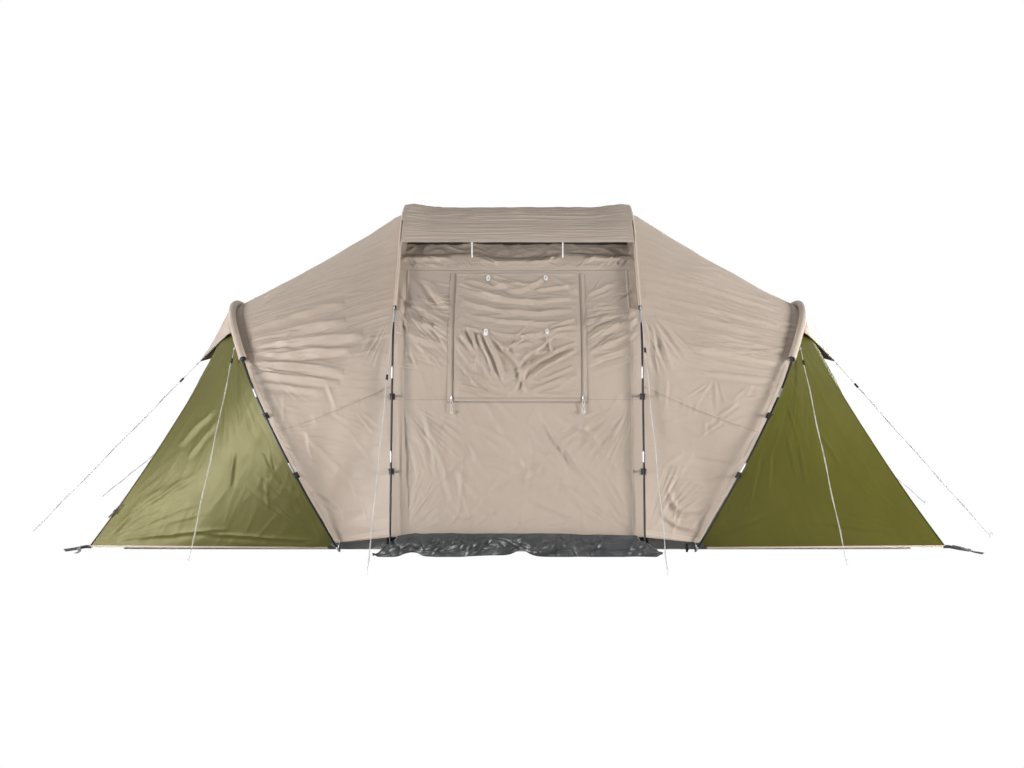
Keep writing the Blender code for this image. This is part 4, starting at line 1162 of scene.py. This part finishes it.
def vent_flap():
    """The flap over the vent, with its hem, and its struts."""
    edge = FLAP_HALF_WIDTH
    u, x = plane((0, 1, 90), (-edge, edge, 250))
    y = FLAP_HINGE[0] + (FLAP_EDGE[0] - FLAP_HINGE[0]) * u
    z = FLAP_HINGE[1] + (FLAP_EDGE[1] - FLAP_HINGE[1]) * u + 0.012 * np.sin(math.pi * u)
    cloth = Cloth(np.stack([x, y, z], -1), INSIDE)
    height = 0.0040 * pulled(x / 0.55 + 4, u * 5, 101) + 0.0016 * pulled(x / 0.35 + 1, u * 9, 102)
    height = height * rise(edge - np.abs(x), 0, 0.05) * rise(u, 0, 0.12) * (1 - 0.7 * rise(u, 0.85, 1.0))
    cloth.push(height + roof_lift(x) * (1 - rise(u, 0.0, 1.0)))
    flap = cloth_object("flap", cloth, FLY, "vent_flap")
    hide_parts("vent_flap")
    declare(cloth)
    strip("flap_hem", cloth, 0.95, np.linspace(0, 1, 140), 0.018, FLY_BAND, "vent_flap")
    for name in SIDES:
        repaint("vent_strut_" + name, WHITE_MOULDED)


# Ends

END_FOLDS = {
    "left": [
        ((1.78, 0.54, 1.58, 0.74), 0.014, 0.008, 0.0),
        ((1.72, 0.48, 1.55, 0.68), 0.012, 0.006, 0.0),
        ((1.45, 0.52, 1.475, 0.34), 0.010, 0.008, 0.0),
        ((1.29, 0.52, 1.20, 0.36), 0.010, 0.006, 0.0),
        ((1.28, 0.38, 1.27, 0.22), 0.009, 0.005, 0.0),
        ((1.17, 0.34, 1.10, 0.22), 0.009, 0.005, 0.0),
        ((2.14, 0.06, 1.66, 0.40), 0.011, 0.006, 0.02),
        ((2.10, 0.09, 1.82, 0.34), 0.010, 0.005, 0.02),
        ((2.06, 0.06, 1.48, 0.12), 0.010, 0.005, 0.0),
        ((1.66, 0.10, 1.06, 0.06), 0.010, 0.005, 0.0),
    ],
    "right": [
        ((1.38, 0.76, 1.44, 0.56), 0.007, 0.006, 0.0),
        ((1.44, 0.56, 1.48, 0.34), 0.007, 0.006, 0.0),
        ((1.37, 0.62, 1.43, 0.38), 0.007, 0.005, 0.0),
        ((1.23, 0.52, 1.18, 0.24), 0.009, 0.007, 0.0),
        ((1.29, 0.54, 1.28, 0.33), 0.009, 0.006, 0.0),
        ((1.56, 0.62, 1.68, 0.44), 0.010, 0.005, 0.0),
        ((1.06, 0.10, 1.50, 0.28), 0.012, 0.005, 0.0),
        ((2.06, 0.08, 1.50, 0.16), 0.012, 0.004, 0.0),
    ],
}
END_FANS = {
    "left": [
        ((2.28, 0.00), 145, 26, 4.5, 0.12, 0.80, 0.0825, 111),
        ((1.55, 1.15), -105, 26, 5.0, 0.16, 0.70, 0.11, 112),
        ((0.98, 0.00), 64, 34, 6.0, 0.12, 0.60, 0.066, 113),
        ((1.30, 0.72), -108, 30, 7.0, 0.06, 0.40, 0.11, 114),
    ],
    "right": [
        ((2.28, 0.00), 145, 26, 5.0, 0.12, 0.80, 0.077, 121),
        ((1.50, 1.15), -100, 22, 5.0, 0.2, 0.80, 0.077, 122),
        ((0.98, 0.00), 60, 34, 6.0, 0.12, 0.55, 0.077, 123),
    ],
}
# The netting under a hood: the station where it starts, and the shares of the way down that it takes up
END_NET_STEP = 13.7
END_NET_SHARES = (0.06, 0.28)


def ground_edge(t, side):
    """Where the green cloth meets the ground, for each station of the end hoop."""
    start = END.point(0.0, FABRIC_INSET, side, SEAM)
    start = np.array([start[0] + side * FOOT_TURN, start[1], GREEN_HEM])
    corner = np.array([side * CORNER_X, -CORNER_Y, GREEN_HEM])
    middle = np.array([side * CORNER_X, 0.0, GREEN_HEM])
    k = np.minimum(t, LAST - t)
    a = np.clip(k / CREASE_STEP, 0, 1)[..., None]
    b = np.clip((k - CREASE_STEP) / (TOP - CREASE_STEP), 0, 1)[..., None]
    p = start + (corner - start) * a + (middle - corner) * b
    p[..., 1] = np.where(t > TOP, -p[..., 1], p[..., 1])
    return p


def end_cloth(side, name):
    """The green cloth of an end, and the netting under its hood."""
    t, u = plane((0, LAST, 420), (0, 1, 150))
    a = END.point(t, FABRIC_INSET, side, SEAM)
    b = ground_edge(t, side)
    p = a * (1 - u[..., None]) + b * u[..., None]
    k = np.minimum(t, LAST - t)
    p[..., 2] -= END_SAG * k / TOP * 4 * u * (1 - u)
    cloth = Cloth(p, (side * END_HOOP_X, 0, 0.4))
    seed = 131 if side < 0 else 151
    edge = rise(u, 0, 0.06) * rise(1 - u, 0, 0.05) * rise(k, 0, 0.9)
    x, z = np.abs(p[..., 0]), p[..., 2]
    height = 0.003 * noise(k / 1.6 + 3, u * 1.8 + 2, seed)
    height += 0.0016 * pulled(u * 2.2 + 2, k / 0.8 + 4, seed + 1)
    facing = 1 - rise(k, CREASE_STEP - 0.5, CREASE_STEP + 0.5)
    edge = edge * (1 - 0.8 * np.exp(-((k - CREASE_STEP) / 0.9) ** 2))
    for half, where in ((name, t <= TOP), (OTHER[name], t > TOP)):
        height += np.where(where, folded(x, z, END_FOLDS[half], END_FANS[half]), 0) * facing
    y = np.abs(p[..., 1])
    outer = 0.005 * noise(y / 0.22, z / 0.4, seed + 3) + 0.003 * pulled(z / 0.5, y / 0.12, seed + 4)
    cloth.push((height + (1 - facing) * outer) * edge)
    middle_k, middle_u = middles(k, u)
    high, low = END_NET_SHARES
    is_net = (middle_k > END_NET_STEP) & (middle_u > high) & (middle_u < low)
    is_side = (middle_k > CREASE_STEP) & ~is_net
    obj = cloth_object("end_" + name, cloth, GREEN, "tent", skip=is_net | is_side)
    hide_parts("end_panel_" + name)
    declare(cloth, is_net | is_side)
    panel = cloth_object("end_side_" + name, cloth, GREEN_SIDE, "tent", skip=~is_side)
    net = cloth_object("end_net_" + name, cloth, MESH, "tent", skip=~is_net)
    strip("end_hem_" + name, cloth, np.linspace(0, 1, 300), 0.996, 0.010, FLY_BAND, "tent", 0.0018)
    c = np.linspace(0.02, 0.99, 110)
    for end, r in (("front", CREASE_STEP / LAST), ("rear", 1 - CREASE_STEP / LAST)):
        strip(f"end_seam_{end}_{name}", cloth, r, c, 0.012, GREEN_DARK, "tent")
    for end, low, high in (("front", 0.0, 0.28), ("rear", 0.72, 1.0)):
        r = np.linspace(low, high, 110)
        strip(f"end_edge_{end}_{name}", cloth, r, 0.012, 0.014, GREEN_DARK, "tent")


HOOD_TIP = (1.825, 1.0)


def hood(side, name):
    """The peak of cloth over the netting of an end."""
    t, u = plane((HOOD_STEP, LAST - HOOD_STEP, 120), (0, 1, 50))
    out = SLEEVE_RADIUS + 0.0004
    top = END.point(t, SLEEVE_SHIFT, side, out)
    start = END.point(float(HOOD_STEP), SLEEVE_SHIFT, side, out + 0.02)
    tip = np.array([side * HOOD_TIP[0], 0.0, HOOD_TIP[1]])
    k = np.minimum(t, LAST - t)
    low = start + (tip - start) * ((k - HOOD_STEP) / (TOP - HOOD_STEP))[..., None]
    low[..., 1] = np.where(t > TOP, -low[..., 1], low[..., 1])
    p = top * (1 - u[..., None]) + low * u[..., None]
    cloth = Cloth(p, (side * END_HOOP_X, 0, 0.5))
    calm = rise(u, 0, 0.12) * rise(1 - u, 0, 0.08)
    cloth.push((0.003 * noise(t / 1.4, u * 2.0, 161) + 0.0022 * pulled(u * 1.2, t / 0.8, 162)) * calm)
    obj = cloth_object("hood_" + name, cloth, FLY, "tent")
    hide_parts("end_hood_" + name)
    declare(cloth)
    r = np.linspace(0, 1, 180)
    strip("hood_piping_" + name, cloth, r, 0.985, 0.006, WEBBING, "tent", 0.002)


# Ground

FLOOR_HALF_WIDTH = 0.6795
NECK_HALF_WIDTH = 0.60
LIP_HALF_WIDTH = 0.72
LIP_TOP = (1.0945, 0.114)
LIP_EDGE = 1.155
# The lip's top edge: distance from the middle and height
LIP_LINE = [(-0.72, 0.024), (-0.70, 0.036), (-0.6545, 0.082), (-0.623, 0.099), (-0.508, 0.114), (0.0, 0.114),
            (0.27, 0.111), (0.584, 0.106), (0.639, 0.092), (0.68, 0.064), (0.705, 0.036), (0.72, 0.020)]
LIP_FOLDS = [((-0.14, 0.095, 0.02, 0.035), 0.006, 0.012, 0.02)]
LIP_SCATTER = [
    (44, (-0.68, 0.01, 0.68, 0.11), 55, 22, 0.12, 0.007, 0.006, 178),
    (16, (-0.68, 0.01, 0.68, 0.11), -40, 20, 0.10, 0.007, 0.005, 179),
]


def groundsheet():
    """The living room's floor, whose raised lips stand against the front and rear legs."""
    half = [LIP_TOP, (LIP_EDGE, 0.0025), (1.120, 0.0016), (0.95, 0.0016)]
    line = np.array([(-y, z) for y, z in half] + [(y, z) for y, z in reversed(half)])
    counts = [46, 12, 14, 60, 14, 12, 46]
    runs = [np.linspace(a, b, n, endpoint=False) for a, b, n in zip(line, line[1:], counts)]
    path = np.vstack(runs + [line[-1:]])
    rows = len(path)
    v, c = np.meshgrid(np.arange(rows), np.linspace(-1, 1, 400), indexing="ij")
    # 0 at the foot of a lip and on the floor, 1 at the lip's top edge
    share = np.clip(1 - np.minimum(v, rows - 1 - v) / counts[0], 0, 1)
    beyond = rise(np.abs(path[:, 0]), 1.10, 1.12)
    neck = rise(np.abs(path[:, 0]), 0.945, 0.955)
    width = FLOOR_HALF_WIDTH + (NECK_HALF_WIDTH - FLOOR_HALF_WIDTH) * neck
    width = width + (LIP_HALF_WIDTH - width) * beyond
    x = c * width[:, None]
    y, z = path[:, :1] + 0 * c, path[:, 1:] + 0 * c
    end = np.where(y < 0, -1.0, 1.0)
    along_lip = -x * end
    top = np.interp(along_lip, *zip(*LIP_LINE)) + 0.003 * noise(along_lip / 0.09, 0 * x + 2.5, 177)
    z = np.where(share > 0, 0.0025 + (top - 0.0025) * share, z)
    short = 1 - top / LIP_TOP[1]
    y = y + end * (0.020 * np.sin(math.pi * share) + 0.045 * share * short)
    # Two hollows under the lip, where it stands off the ground
    notch = np.exp(-np.abs((along_lip - 0.02) / 0.045) ** 1.5)
    notch += 0.66 * np.exp(-np.abs((along_lip + 0.53) / 0.045) ** 2.5)
    wavy = 0.006 * (noise(along_lip / 0.20 + 4, 0 * x + 1.5, 171) + 0.4)
    tunnel = rise(np.abs(y), 0.88, 1.12) * (share <= 0) + (share > 0) * (1 - share) ** 1.5
    ends = 1 - rise(np.abs(x), 0.60, 0.68)
    z = z + tunnel * (0.036 * notch + np.maximum(wavy, 0)) * (0.15 + 0.85 * ends)
    tips = 0.014 * rise(np.abs(x), 0.69, 0.72) * (np.abs(y) > 1.10)
    z = z + tips * (1 - share)
    y = y - end * tunnel * 0.020 * notch * (np.abs(y) > 1.10)
    crumple = 0.0090 * pulled(x / 0.16 + 3 + v / 50.0, v / 34.0, 173)
    crumple += 0.0008 * pulled(x / 0.06 + v / 24.0, v / 18.0, 174)
    crumple += 0.0100 * noise(x / 0.11, v / 24.0, 175)
    crumple += folded(along_lip, z, LIP_FOLDS, scattered=LIP_SCATTER)
    flat_part = 0.0012 * (1 + noise(x / 0.12, y / 0.12, 176)) * (np.abs(y) < 1.0)
    cloth = Cloth(np.stack([x, y, z], -1), (0, 0, -5.0))
    shape = np.sin(math.pi * share) ** 0.35 * (share > 0) * rise(v, 0, 5) * rise(rows - 1 - v, 0, 5)
    cloth.push(crumple * shape)
    cloth.p[..., 2] = np.maximum(cloth.p[..., 2] + flat_part, 0.0012)
    mesh = grid_mesh("groundsheet", cloth.p, cloth.flipped)
    obj = new_object("groundsheet_cloth", mesh, SHEETING, "tent")
    thicken(obj, 0.0006, 0)
    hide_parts("groundsheet")
    declare(cloth)


# Straps, the patches at the feet and the pins under them

STRAP_PATH = [(2.205, 0.840, 0.022), (2.232, 0.845, 0.023), (2.275, 0.885, 0.016), (2.318, 0.930, 0.012)]
# Where the loose end of each side's straps lies
TAIL_ENDS = {"left": (2.215, 1.085, 0.010), "right": (2.330, 1.100, 0.010)}
# A short strap with a buckle that hangs on the front left edge
EDGE_STRAP = [
    (-2.066, -0.785, 0.238), (-2.092, -0.795, 0.208), (-2.103, -0.797, 0.194), (-2.128, -0.800, 0.170)]


def ribbon(points, width, thickness, up):
    """Webbing along a path, closed and flat."""
    path, _ = resampled(points, 40)
    for _ in range(6):
        path[1:-1] = (path[:-2] + path[1:-1] * 2 + path[2:]) / 4
    return tube_mesh("ribbon", path, width / 2, 10, thickness / 2, up=up)


def buckle(middle, along, across):
    """A ladder buckle: three bars between two rails."""
    u = np.linspace(-1, 1, 5)[:, None]
    bars = [tube_mesh("bar", middle + along * a + across * 0.016 * u, 0.0022, 8)
            for a in (-0.012, 0.0, 0.012)]
    rails = [tube_mesh("rail", middle + across * b + along * 0.015 * u, 0.0024, 8)
             for b in (-0.0155, 0.0155)]
    return merged("buckle", bars + rails)


def straps():
    for tag, name, side, end in CORNERS:
        route = np.array(STRAP_PATH) * (side, end, 1)
        mesh = ribbon(route, 0.025, 0.0024, (0, end, 1.2))
        band = new_object("strap_" + tag, mesh, WEBBING, "tent")
        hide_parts("corner_strap_" + tag)
        middle = route[1] + (route[2] - route[1]) * 0.3 + np.array([0, 0, 0.003])
        along = unit(route[2] - route[1])
        across, over = square_to(along)
        new_object("buckle_" + tag, buckle(middle, along, across), MOULDED, "tent")
        u = np.linspace(0, 1, 12)[:, None]
        far = np.array(TAIL_ENDS[name]) * (side, end, 1)
        tail = middle + over * 0.004 + (far - middle) * u
        tail = tail + np.array([side, 0, 0]) * 0.010 * np.sin(2 * math.pi * u)
        tail[:, 2] = np.maximum(tail[:, 2], 0.009)
        mesh = ribbon(tail, 0.018, 0.002, (0, end, 1))
        new_object("strap_tail_" + tag, mesh, WEBBING, "tent")
    band = merged("edge_strap", [ribbon(EDGE_STRAP, 0.009, 0.0024, (0, -1, 0)),
                                 tube_mesh("buckle", EDGE_STRAP[1:3], 0.0075, 8, 0.003, up=(0, -1, 0))])
    new_object("edge_strap", band, WEBBING, "tent")


# Where the wire hooks of the centre hoops' feet lie, and the path of the rolled toggle beside a foot
HOOK_Y = 1.101
TOGGLE_ROLL = [
    (0.865, -0.945, 0.006), (0.867, -0.947, 0.020), (0.863, -0.947, 0.034), (0.866, -0.945, 0.046)]
# The steel pin under each foot, from the foot's middle
PIN_PATH = [(0, 0.006, 0.050), (0.004, 0.012, 0.030), (0.010, 0.014, 0.008)]


def feet():
    """A webbing patch at each foot of the cloth, with the steel pin that goes in the pole."""
    for tag, _, side, end in CORNERS:
        foot = np.array([side * END_HOOP_X, end * END_PROFILE[0][0], 0.0])
        cloth = END.point(0.0, FABRIC_INSET, side, 0.0) * (1, -end, 1)
        near = cloth + (-side * 0.045, end * 0.002, 0.012)
        far = cloth + (side * 0.040, end * 0.002, 0.002)
        low = foot + (side * 0.004, end * 0.010, 0.012)
        step = np.array([side * 0.008, 0, 0])
        patch = np.stack([np.linspace(near, far, 14), np.linspace((near + low) / 2, (far + low) / 2, 14),
                          np.linspace(low - step, low + step, 14)])
        obj = new_object("foot_patch_" + tag, grid_mesh("patch", patch), WEBBING, "tent")
        thicken(obj, 0.002)
        pin = foot + np.array(PIN_PATH) * (side, end, 1)
        tube("foot_pin_" + tag, pin, 0.0018, STEEL, "tent", "peg", sides=8)
        hook = np.array([side * (CENTRE_HOOP_X - 0.016), end * (HOOK_Y + 0.004), 0.026])
        wire = ring_path(hook, (1, 0, 0), (0, 0, 1), 0.007, 0.022, 26, 0.9)
        tube("foot_hook_" + tag, wire, 0.0016, STEEL, "tent", "peg", sides=8)
    tube("rolled_toggle", TOGGLE_ROLL, [0.006, 0.009, 0.009, 0.006], MOULDED, "tent", "runner", sides=12)


# Window zips. The door's slope beside them, upwards and outwards.

ZIP_UP = np.array([0, 0.17819, 0.984])
ZIP_OUT = np.array([0, -0.984, 0.17819])


def window_zips():
    up, out = ZIP_UP, ZIP_OUT
    for name, side in SIDES.items():
        low, high = (np.array(v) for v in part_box("window_zip_" + name))
        middle = (low + high) / 2 + np.array([0, -0.002, 0])
        u = np.linspace(-1, 1, 9)[:, None]
        taper = 1 - 0.35 * np.abs(u[:, 0]) ** 3
        plates = [tube_mesh("plate", middle + up * 0.0075 * u + out * k, 0.0050 * taper, 12, 0.0011, up=out)
                  for k in (-0.0016, 0.0022)]
        bridge = middle + up * 0.005 * u + out * (0.0035 + 0.0022 * (1 - u ** 2))
        plates.append(tube_mesh("bridge", bridge, 0.0012, 8))
        slider = new_object("slider_" + name, merged("slider", plates), SLIDER, "zip_" + name)
        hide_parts("window_zip_" + name)
        low, high = (np.array(v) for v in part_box("window_zip_cord_" + name))
        start = np.array([(low[0] + high[0]) / 2, high[1] - 0.0075, high[2]])
        end = np.array([(low[0] + high[0]) / 2, low[1] - 0.0045, low[2]])
        u = np.linspace(0, 1, 26)[:, None]
        sway = np.array([side * 0.0055, 0, 0]) * np.sin(math.pi * u * 2.0)
        path = start + (end - start) * u + sway
        cord = tube("pull_" + name, path, 0.0015, CORD, "zip_" + name, "cord", sides=8)
        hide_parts("window_zip_cord_" + name)
        second = path - 2 * sway + out * 0.003
        twist = tube("pull_strand_" + name, second, 0.0015, CORD, "zip_" + name, "cord", sides=8)
        bead_path = ring_path(path[-1] + (0, -0.002, 0.006), (1, 0, 0), (0, 0, 1), 0.0070, 0.0080, 30)
        bead = tube("pull_knot_" + name, bead_path, 0.0024, CORD, "zip_" + name, "cord", sides=8)


# Sleeping cabins: the corner points of the floor and the roof

CABIN_X = 0.68
CABIN_FLOOR = (2.05, 0.80)
CABIN_ROOF = (1.45, 0.50)
CABIN_HIGH = 1.33
CABIN_LOW = 1.10
CABIN_DOOR_HALF = 0.25
CABIN_DOOR_SILL = 0.12
CABIN_DOOR_TOP = 1.12
# The netting in an inner door: half its width, and its heights
CABIN_NET_HALF = 0.17
CABIN_NET_HEIGHTS = (0.62, 1.02)


def wall_grid(corners, rows, columns, sag, seed, amount=0.006):
    """A cloth wall between four corners, bulged and creased."""
    a, b, c, d = (np.array(v, float) for v in corners)
    down, along = plane((0, 1, rows), (0, 1, columns))
    window = 16 * down * (1 - down) * along * (1 - along)
    folds = pulled(down * 3, along * 9, seed) * window ** 0.5
    u, v = down[..., None], along[..., None]
    p = (a * (1 - u) + d * u) * (1 - v) + (b * (1 - u) + c * u) * v
    return p + unit(np.cross(c - a, d - b)) * (sag * window + amount * folds)[..., None]


def cabin(side, name):
    x0 = side * CABIN_X
    x1, y1 = side * CABIN_FLOOR[0], CABIN_FLOOR[1]
    x2, y2 = side * CABIN_ROOF[0], CABIN_ROOF[1]
    base = 0.004
    floor = [(x0, -y1, base), (x1, -y1, base), (x1, y1, base), (x0, y1, base)]
    high = [(x0, -y2, CABIN_HIGH), (x2, -y2, CABIN_LOW), (x2, y2, CABIN_LOW), (x0, y2, CABIN_HIGH)]
    grids = [wall_grid((floor[a], floor[a + 1], high[a + 1], high[a]), 60, 60, side * 0.012, 181 + a)
             for a in range(3)]
    grids.append(wall_grid(high, 50, 60, side * 0.02, 187))
    meshes = [grid_mesh("wall", g) for g in grids]
    z_line = np.concatenate([np.linspace(base, CABIN_DOOR_SILL, 8, endpoint=False),
                             np.linspace(CABIN_DOOR_SILL, CABIN_DOOR_TOP, 44, endpoint=False),
                             np.linspace(CABIN_DOOR_TOP, CABIN_HIGH, 12)])
    half = y1 + (y2 - y1) * z_line / CABIN_HIGH
    outer = np.linspace(1, 0, 16, endpoint=False)[None, :]
    left = -(CABIN_DOOR_HALF + (half[:, None] - CABIN_DOOR_HALF) * outer)
    centre = np.tile(np.linspace(-CABIN_DOOR_HALF, CABIN_DOOR_HALF, 21), (len(z_line), 1))
    y = np.hstack([left, centre, -left[:, ::-1]])
    z = np.tile(z_line[:, None], (1, y.shape[1]))
    ripple = 0.003 * pulled(z / 0.4, y / 0.1, 188) * rise(np.abs(y), CABIN_DOOR_HALF, CABIN_DOOR_HALF + 0.05)
    face = np.stack([x0 + side * np.abs(ripple), y, z], -1)
    middle_y, middle_z = middles(y, z)
    doorway = (np.abs(middle_y) < CABIN_DOOR_HALF) & (middle_z > CABIN_DOOR_SILL)
    doorway &= middle_z < CABIN_DOOR_TOP
    meshes.append(grid_mesh("inner_wall", face, side < 0, skip=doorway))
    shell = merged("cabin_shell", meshes, 0.0005)
    bm = bmesh.new()
    bm.from_mesh(shell)
    bmesh.ops.recalc_face_normals(bm, faces=bm.faces)
    area = sum(f.calc_area() for f in bm.faces)
    bm.to_mesh(shell)
    bm.free()
    obj = new_object("cabin_walls_" + name, shell, CABIN, "tent")
    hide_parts("cabin_" + name)
    tray = wall_grid(floor, 40, 50, 0, 189, 0.0015)
    tray[..., 2] = np.maximum(tray[..., 2], 0.0022)
    mesh = grid_mesh("tray", tray, side < 0)
    sheet = new_object("cabin_floor_" + name, mesh, CABIN_FLOOR_CLOTH, "tent")
    cabin_leaf(side, name)


def cabin_leaf(side, name):
    """An inner door with its netting and its zips."""
    body = "cabin_door_" + name
    half = CABIN_DOOR_HALF - DOOR_GAP
    z, y = plane((CABIN_DOOR_SILL + DOOR_GAP, CABIN_DOOR_TOP - DOOR_GAP, 101), (-half, half, 51))
    x = side * (CABIN_X + 0.0004) + 0 * y
    cloth = Cloth(np.stack([x, y, z], -1), (side * 2.0, 0, 0.6))
    calm = rise(half - np.abs(y), 0, 0.05) * rise(z - CABIN_DOOR_SILL, 0, 0.05)
    calm *= rise(CABIN_DOOR_TOP - z, 0, 0.05)
    cloth.push(0.0022 * pulled(z / 0.5, y / 0.12 + 3, 191) * calm)
    middle_y, middle_z = middles(y, z)
    low, high = CABIN_NET_HEIGHTS
    window = (np.abs(middle_y) < CABIN_NET_HALF) & (middle_z > low) & (middle_z < high)
    leaf = cloth_object("cabin_leaf_" + name, cloth, CABIN, body, skip=window)
    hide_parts("cabin_door_" + name)
    declare(cloth, window)
    net = cloth_object("cabin_net_" + name, cloth, MESH, body, skip=~window)
    u = np.linspace(0.012, 0.988, 90)
    for tag, r, c in (("front", u, 0.022), ("sill", 0.012, u), ("top", 0.988, u)):
        strip(f"cabin_zip_{tag}_{name}", cloth, r, c, 0.018, WEBBING, body, 0.0016)


guy_lines()
window_zips()
for half_name, half_sign in SIDES.items():
    bedroom(half_sign, half_name)
    end_cloth(half_sign, half_name)
    hood(half_sign, half_name)
    hoop_piece("centre", CENTRE, half_sign, half_name)
    hoop_piece("end", END, half_sign, half_name)
    sleeve_piece("centre", CENTRE, half_sign, half_name, SLEEVE_STEP, 0.0075, 51)
    sleeve_piece("end", END, half_sign, half_name, END_SLEEVE_STEP, 0.019, 61)
    cabin(half_sign, half_name)
front_cloth()
door_cloth()
window_cover()
roof_cloth()
rear_cloth()
vent_flap()
groundsheet()
straps()
feet()


# Stage: white floor, soft lamps and the photograph's camera

def white_behind(owner, output, lit, white):
    """Ends a shader: white for the camera, for reflections and through film, and lit for all other rays."""
    path = node(owner, "ShaderNodeLightPath")
    rays = path.outputs["Is Camera Ray"]
    for kind in ("Is Glossy Ray", "Is Transmission Ray"):
        rays = join(owner, "MAXIMUM", rays, path.outputs[kind])
    mix = node(owner, "ShaderNodeMixShader")
    links = owner.node_tree.links
    links.new(rays, mix.inputs["Fac"])
    links.new(lit.outputs[0], mix.inputs[1])
    links.new(white.outputs[0], mix.inputs[2])
    links.new(mix.outputs["Shader"], node(owner, output).inputs["Surface"])


def stage_floor():
    mesh = bpy.data.meshes.new("floor")
    bm = bmesh.new()
    bmesh.ops.create_grid(bm, x_segments=1, y_segments=1, size=30)
    bm.to_mesh(mesh)
    bm.free()
    floor = bpy.data.objects.new("floor", mesh)
    bpy.context.scene.collection.objects.link(floor)
    floor.location.z = -0.0015
    material = bpy.data.materials.new("white_floor")
    material.use_nodes = True
    material.node_tree.nodes.clear()
    plain = node(material, "ShaderNodeBsdfDiffuse", Color=(0.8, 0.8, 0.8, 1))
    white_behind(material, "ShaderNodeOutputMaterial", plain, node(material, "ShaderNodeEmission"))
    mesh.materials.append(material)


def studio_world():
    """A glow that is brightest at the horizon, in front of a white background."""
    world = bpy.data.worlds.new("studio")
    bpy.context.scene.world = world
    world.use_nodes = True
    world.node_tree.nodes.clear()
    soft, white = (node(world, "ShaderNodeBackground", Color=(1, 1, 1, 1)) for _ in range(2))
    place = node(world, "ShaderNodeTexCoord")
    split = node(world, "ShaderNodeSeparateXYZ")
    fall = node(world, "ShaderNodeMapRange", **{"From Max": 0.8, "To Min": 0.26, "To Max": 0.09})
    links = world.node_tree.links
    links.new(place.outputs["Generated"], split.inputs[0])
    links.new(split.outputs["Z"], fall.inputs["Value"])
    links.new(fall.outputs["Result"], soft.inputs["Strength"])
    white_behind(world, "ShaderNodeOutputWorld", soft, white)


def lamp(name, place, target, size, power, diffuse=True, glossy=True):
    """A soft lamp, unseen by the camera. Without diffuse it gives only a sheen, without glossy none."""
    light = bpy.data.lights.new(name, "AREA")
    light.shape = "RECTANGLE"
    light.size, light.size_y = size
    light.energy = power
    obj = bpy.data.objects.new(name, light)
    bpy.context.scene.collection.objects.link(obj)
    obj.location = place
    obj.rotation_euler = (Vector(target) - Vector(place)).to_track_quat("-Z", "Y").to_euler()
    obj.visible_camera = False
    obj.visible_diffuse = diffuse
    obj.visible_glossy = glossy


def camera():
    data = bpy.data.cameras.new("view")
    data.lens = FOCAL_MM
    data.sensor_width = 36.0
    data.shift_x = SHIFT_X
    data.shift_y = SHIFT_Y
    obj = bpy.data.objects.new("view", data)
    bpy.context.scene.collection.objects.link(obj)
    obj.location = (0, -CAMERA_DISTANCE, CAMERA_HEIGHT)
    obj.rotation_euler = (math.pi / 2, 0, 0)
    bpy.context.scene.camera = obj


stage_floor()
studio_world()
lamp("right_key", (5.5, -3.3, 0.9), (0.6, -0.9, 0.6), (1.4, 1.2), 325, glossy=False)
lamp("left_key", (-5.5, -3.4, 1.0), (-0.6, -0.9, 0.6), (1.4, 1.2), 262)
lamp("sky", (0.5, -0.5, 7.0), (0, 0, 0.8), (3.0, 2.0), 88)
lamp("softbox", (-5.5, -5.9, 1.0), (-1.6, -0.9, 0.4), (6.0, 4.6), 2150, diffuse=False)
lamp("rear_key", (4.0, 7.5, 1.8), (0, 0, 0.7), (3.5, 2.0), 300)
camera()
bpy.context.scene.view_settings.view_transform = "Standard"


def corners(box):
    return [[float(v) for v in corner] for corner in box]
